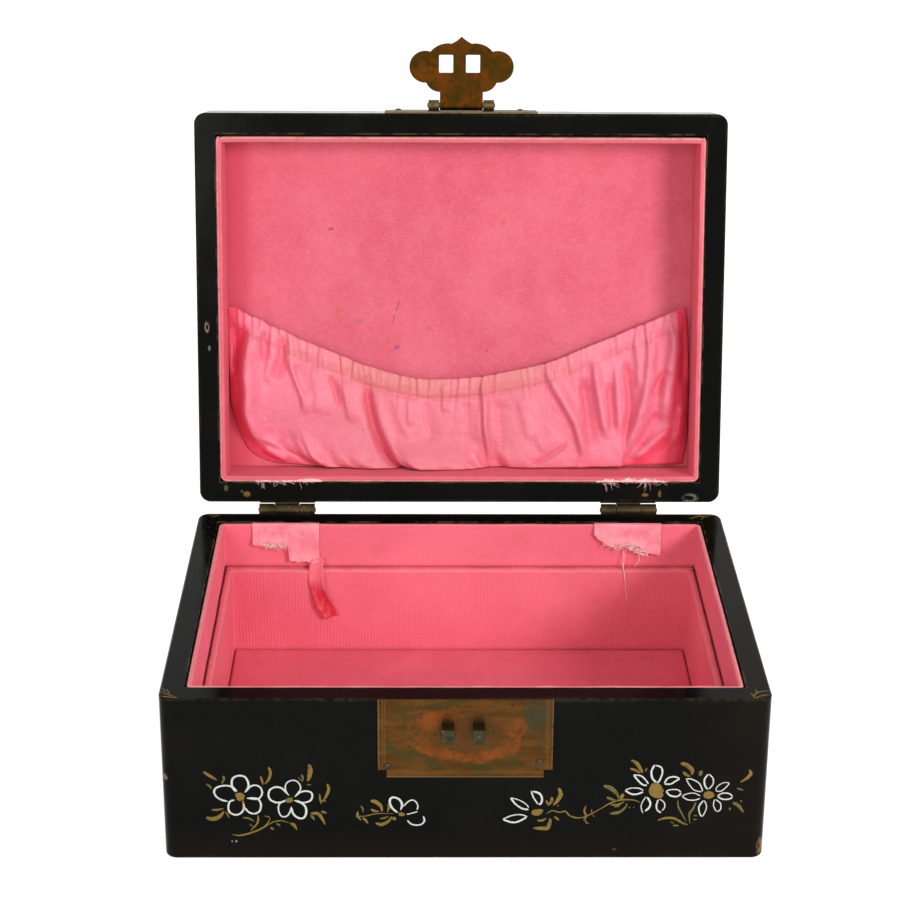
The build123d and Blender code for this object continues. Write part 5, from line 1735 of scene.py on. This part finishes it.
class JEWELRYBOX_OT_brass(bpy.types.Operator):
    """Give the hinges, the hasp, its plate, the staples and the lock plate their tarnished finishes"""
    bl_idname = "jewelry_box.brass"
    bl_label = "Brass"

    def execute(self, context):
        brass = tuple(colours().brass)
        hinge = brass_finish("hinge_brass", (0.042, 0.032, 0.015), (0.070, 0.048, 0.020),
                             (0.016, 0.013, 0.009), pale=0.3, metal=0.95)
        hasp = brass_finish("hasp_brass", brass, (0.115, 0.032, 0.004), (0.024, 0.016, 0.004), pale=0.03,
                            metal=1.0)
        plate = brass_finish("hasp_plate_brass", (0.125, 0.098, 0.048), (0.11, 0.062, 0.020),
                             (0.045, 0.036, 0.020), turned=True, pale=0.2)
        staple = brass_finish("staple_brass", (0.040, 0.038, 0.020), (0.060, 0.052, 0.028),
                              (0.018, 0.020, 0.018), pale=0.35, metal=0.95)
        lock = lock_plate_finish("lock_plate_patina")
        finishes = {
            "base_hinge_leaf_left": hinge, "base_hinge_leaf_right": hinge, "lid_hinge_leaf_left": hinge,
            "lid_hinge_leaf_right": hinge, "hinge_pin_left": hinge, "hinge_pin_right": hinge, "hasp": hasp,
            "hasp_pin": plate, "hasp_plate": plate, "hasp_staple_left": staple, "hasp_staple_right": staple,
            "lock_plate": lock,
        }
        for name, finish in finishes.items():
            take_finish(name, finish)
        return {"FINISHED"}


# Lacquered case

class JEWELRYBOX_OT_case(bpy.types.Operator):
    """Lacquer the boards of the base and the lid"""
    bl_idname = "jewelry_box.case"
    bl_label = "Lacquered Case"

    def execute(self, context):
        base = lacquer_finish("base_lacquer", False, 0.0, BASE_RIM)
        lid = lacquer_finish("lid_lacquer", True, LID_RIM, LID_RIM + LID_HEIGHT)
        for side in ("front", "rear", "left", "right"):
            for body, finish in (("base", base), ("lid", lid)):
                take_finish(f"{body}_{side}_board", finish)
        take_finish("base_bottom_board", base)
        take_finish("lid_top_panel", lid)
        return {"FINISHED"}


# Stage, lamps and camera

class JEWELRYBOX_OT_stage(bpy.types.Operator):
    """Set the floor, the world, the lamps and the camera"""
    bl_idname = "jewelry_box.stage"
    bl_label = "Stage"

    def execute(self, context):
        scene = context.scene
        scene.view_settings.view_transform = "Standard"
        half = 6.0
        floor = mesh_object("studio_floor", [(-half, -half, 0), (half, -half, 0), (half, half, 0),
                                             (-half, half, 0)], [(0, 1, 2, 3)], smooth=False)
        wire = Wiring("floor_white")
        tree = wire.tree
        wire.set(Base_Color=(0.86, 0.86, 0.86, 1.0), Roughness=0.9, Specular_IOR_Level=0.0)
        rays = wire.node("LightPath").outputs
        seen = wire.maths("MAXIMUM", rays["Is Camera Ray"],
                          wire.maths("MAXIMUM", rays["Is Glossy Ray"], rays["Is Transmission Ray"]))
        glow = wire.node("Emission", Strength=0.64)
        tree.links.new(wire.mix(seen, (0, 0, 0), (1, 1, 1)), glow.inputs["Color"])
        both = wire.node("AddShader")
        tree.links.new(wire.shader.outputs[0], both.inputs[0])
        tree.links.new(glow.outputs[0], both.inputs[1])
        tree.links.new(both.outputs[0], tree.nodes["Material Output"].inputs["Surface"])
        floor.data.materials.append(wire.material)
        self.world(scene)
        self.lamps(scene)
        self.camera(scene)
        return {"FINISHED"}

    def world(self, scene):
        """Soft even light for the object, and plain white wherever the camera or a shiny surface sees it."""
        world = bpy.data.worlds.new("studio_air")
        scene.world = world
        world.use_nodes = True
        tree = world.node_tree
        soft = tree.nodes["Background"]
        soft.inputs["Color"].default_value = (1.0, 1.0, 1.0, 1.0)
        soft.inputs["Strength"].default_value = 0.60
        white = tree.nodes.new("ShaderNodeBackground")
        white.inputs["Color"].default_value = (1.0, 1.0, 1.0, 1.0)
        white.inputs["Strength"].default_value = 1.0
        rays = tree.nodes.new("ShaderNodeLightPath")
        seen = tree.nodes.new("ShaderNodeMath")
        seen.operation = "MAXIMUM"
        either = tree.nodes.new("ShaderNodeMath")
        either.operation = "MAXIMUM"
        tree.links.new(rays.outputs["Is Glossy Ray"], either.inputs[0])
        tree.links.new(rays.outputs["Is Transmission Ray"], either.inputs[1])
        tree.links.new(rays.outputs["Is Camera Ray"], seen.inputs[0])
        tree.links.new(either.outputs[0], seen.inputs[1])
        blend = tree.nodes.new("ShaderNodeMixShader")
        tree.links.new(seen.outputs[0], blend.inputs[0])
        tree.links.new(soft.outputs[0], blend.inputs[1])
        tree.links.new(white.outputs[0], blend.inputs[2])
        tree.links.new(blend.outputs[0], tree.nodes["World Output"].inputs["Surface"])

    def lamps(self, scene):
        """A soft box in front at the right, and a weaker one at the left."""
        for name, place, size, energy in (("key_box", (0.90, -1.17, 0.74), 0.42, 14.2),
                                          ("fill_box", (-0.50, -1.35, 0.66), 0.55, 5.0)):
            lamp = bpy.data.lights.new(name, "AREA")
            lamp.shape = "SQUARE"
            lamp.size = size
            lamp.energy = energy
            held = bpy.data.objects.new(name, lamp)
            held.location = place
            aim = Vector((0.0, 0.03, 0.12)) - Vector(place)
            held.rotation_mode = "QUATERNION"
            held.rotation_quaternion = aim.to_track_quat("-Z", "Y")
            scene.collection.objects.link(held)

    def camera(self, scene):
        """The camera stands in front and a little above, as in the photograph."""
        lens = bpy.data.cameras.new("camera")
        lens.lens = LENS
        lens.sensor_width = SENSOR
        lens.clip_start = 0.05
        camera = bpy.data.objects.new("camera", lens)
        right, up, ahead = camera_axes()
        turn = Matrix((right, up, -ahead)).transposed()
        camera.matrix_world = Matrix.Translation(CAMERA_PLACE) @ turn.to_4x4()
        scene.collection.objects.link(camera)
        scene.camera = camera


class JEWELRYBOX_PT_panel(bpy.types.Panel):
    """Jewelry box pieces, in the order in which they are made"""
    bl_label = "Jewelry Box"
    bl_idname = "JEWELRYBOX_PT_panel"
    bl_space_type = "VIEW_3D"
    bl_region_type = "UI"
    bl_category = "Jewelry Box"

    def draw(self, context):
        for operator in OPERATORS:
            self.layout.operator(operator.bl_idname)
        for group in (context.scene.jewelry_box_sizes, context.scene.jewelry_box_colours):
            box = self.layout.box()
            for name in group.bl_rna.properties.keys():
                if name not in ("rna_type", "name"):
                    box.prop(group, name)


OPERATORS = (JEWELRYBOX_OT_stage, JEWELRYBOX_OT_case, JEWELRYBOX_OT_brass, JEWELRYBOX_OT_nails,
             JEWELRYBOX_OT_linings, JEWELRYBOX_OT_pocket, JEWELRYBOX_OT_torn_cloth, JEWELRYBOX_OT_paint)
CLASSES = (BoxSizes, BoxColours) + OPERATORS + (JEWELRYBOX_PT_panel,)


def register():
    for item in CLASSES:
        bpy.utils.register_class(item)
    bpy.types.Scene.jewelry_box_sizes = PointerProperty(type=BoxSizes)
    bpy.types.Scene.jewelry_box_colours = PointerProperty(type=BoxColours)


def unregister():
    del bpy.types.Scene.jewelry_box_colours
    del bpy.types.Scene.jewelry_box_sizes
    for item in reversed(CLASSES):
        bpy.utils.unregister_class(item)


def main():
    register()
    for operator in OPERATORS:
        group, name = operator.bl_idname.split(".")
        if getattr(getattr(bpy.ops, group), name)() != {"FINISHED"}:
            raise RuntimeError(f"{operator.bl_label} could not be made")


if __name__ == "__main__":
    main()
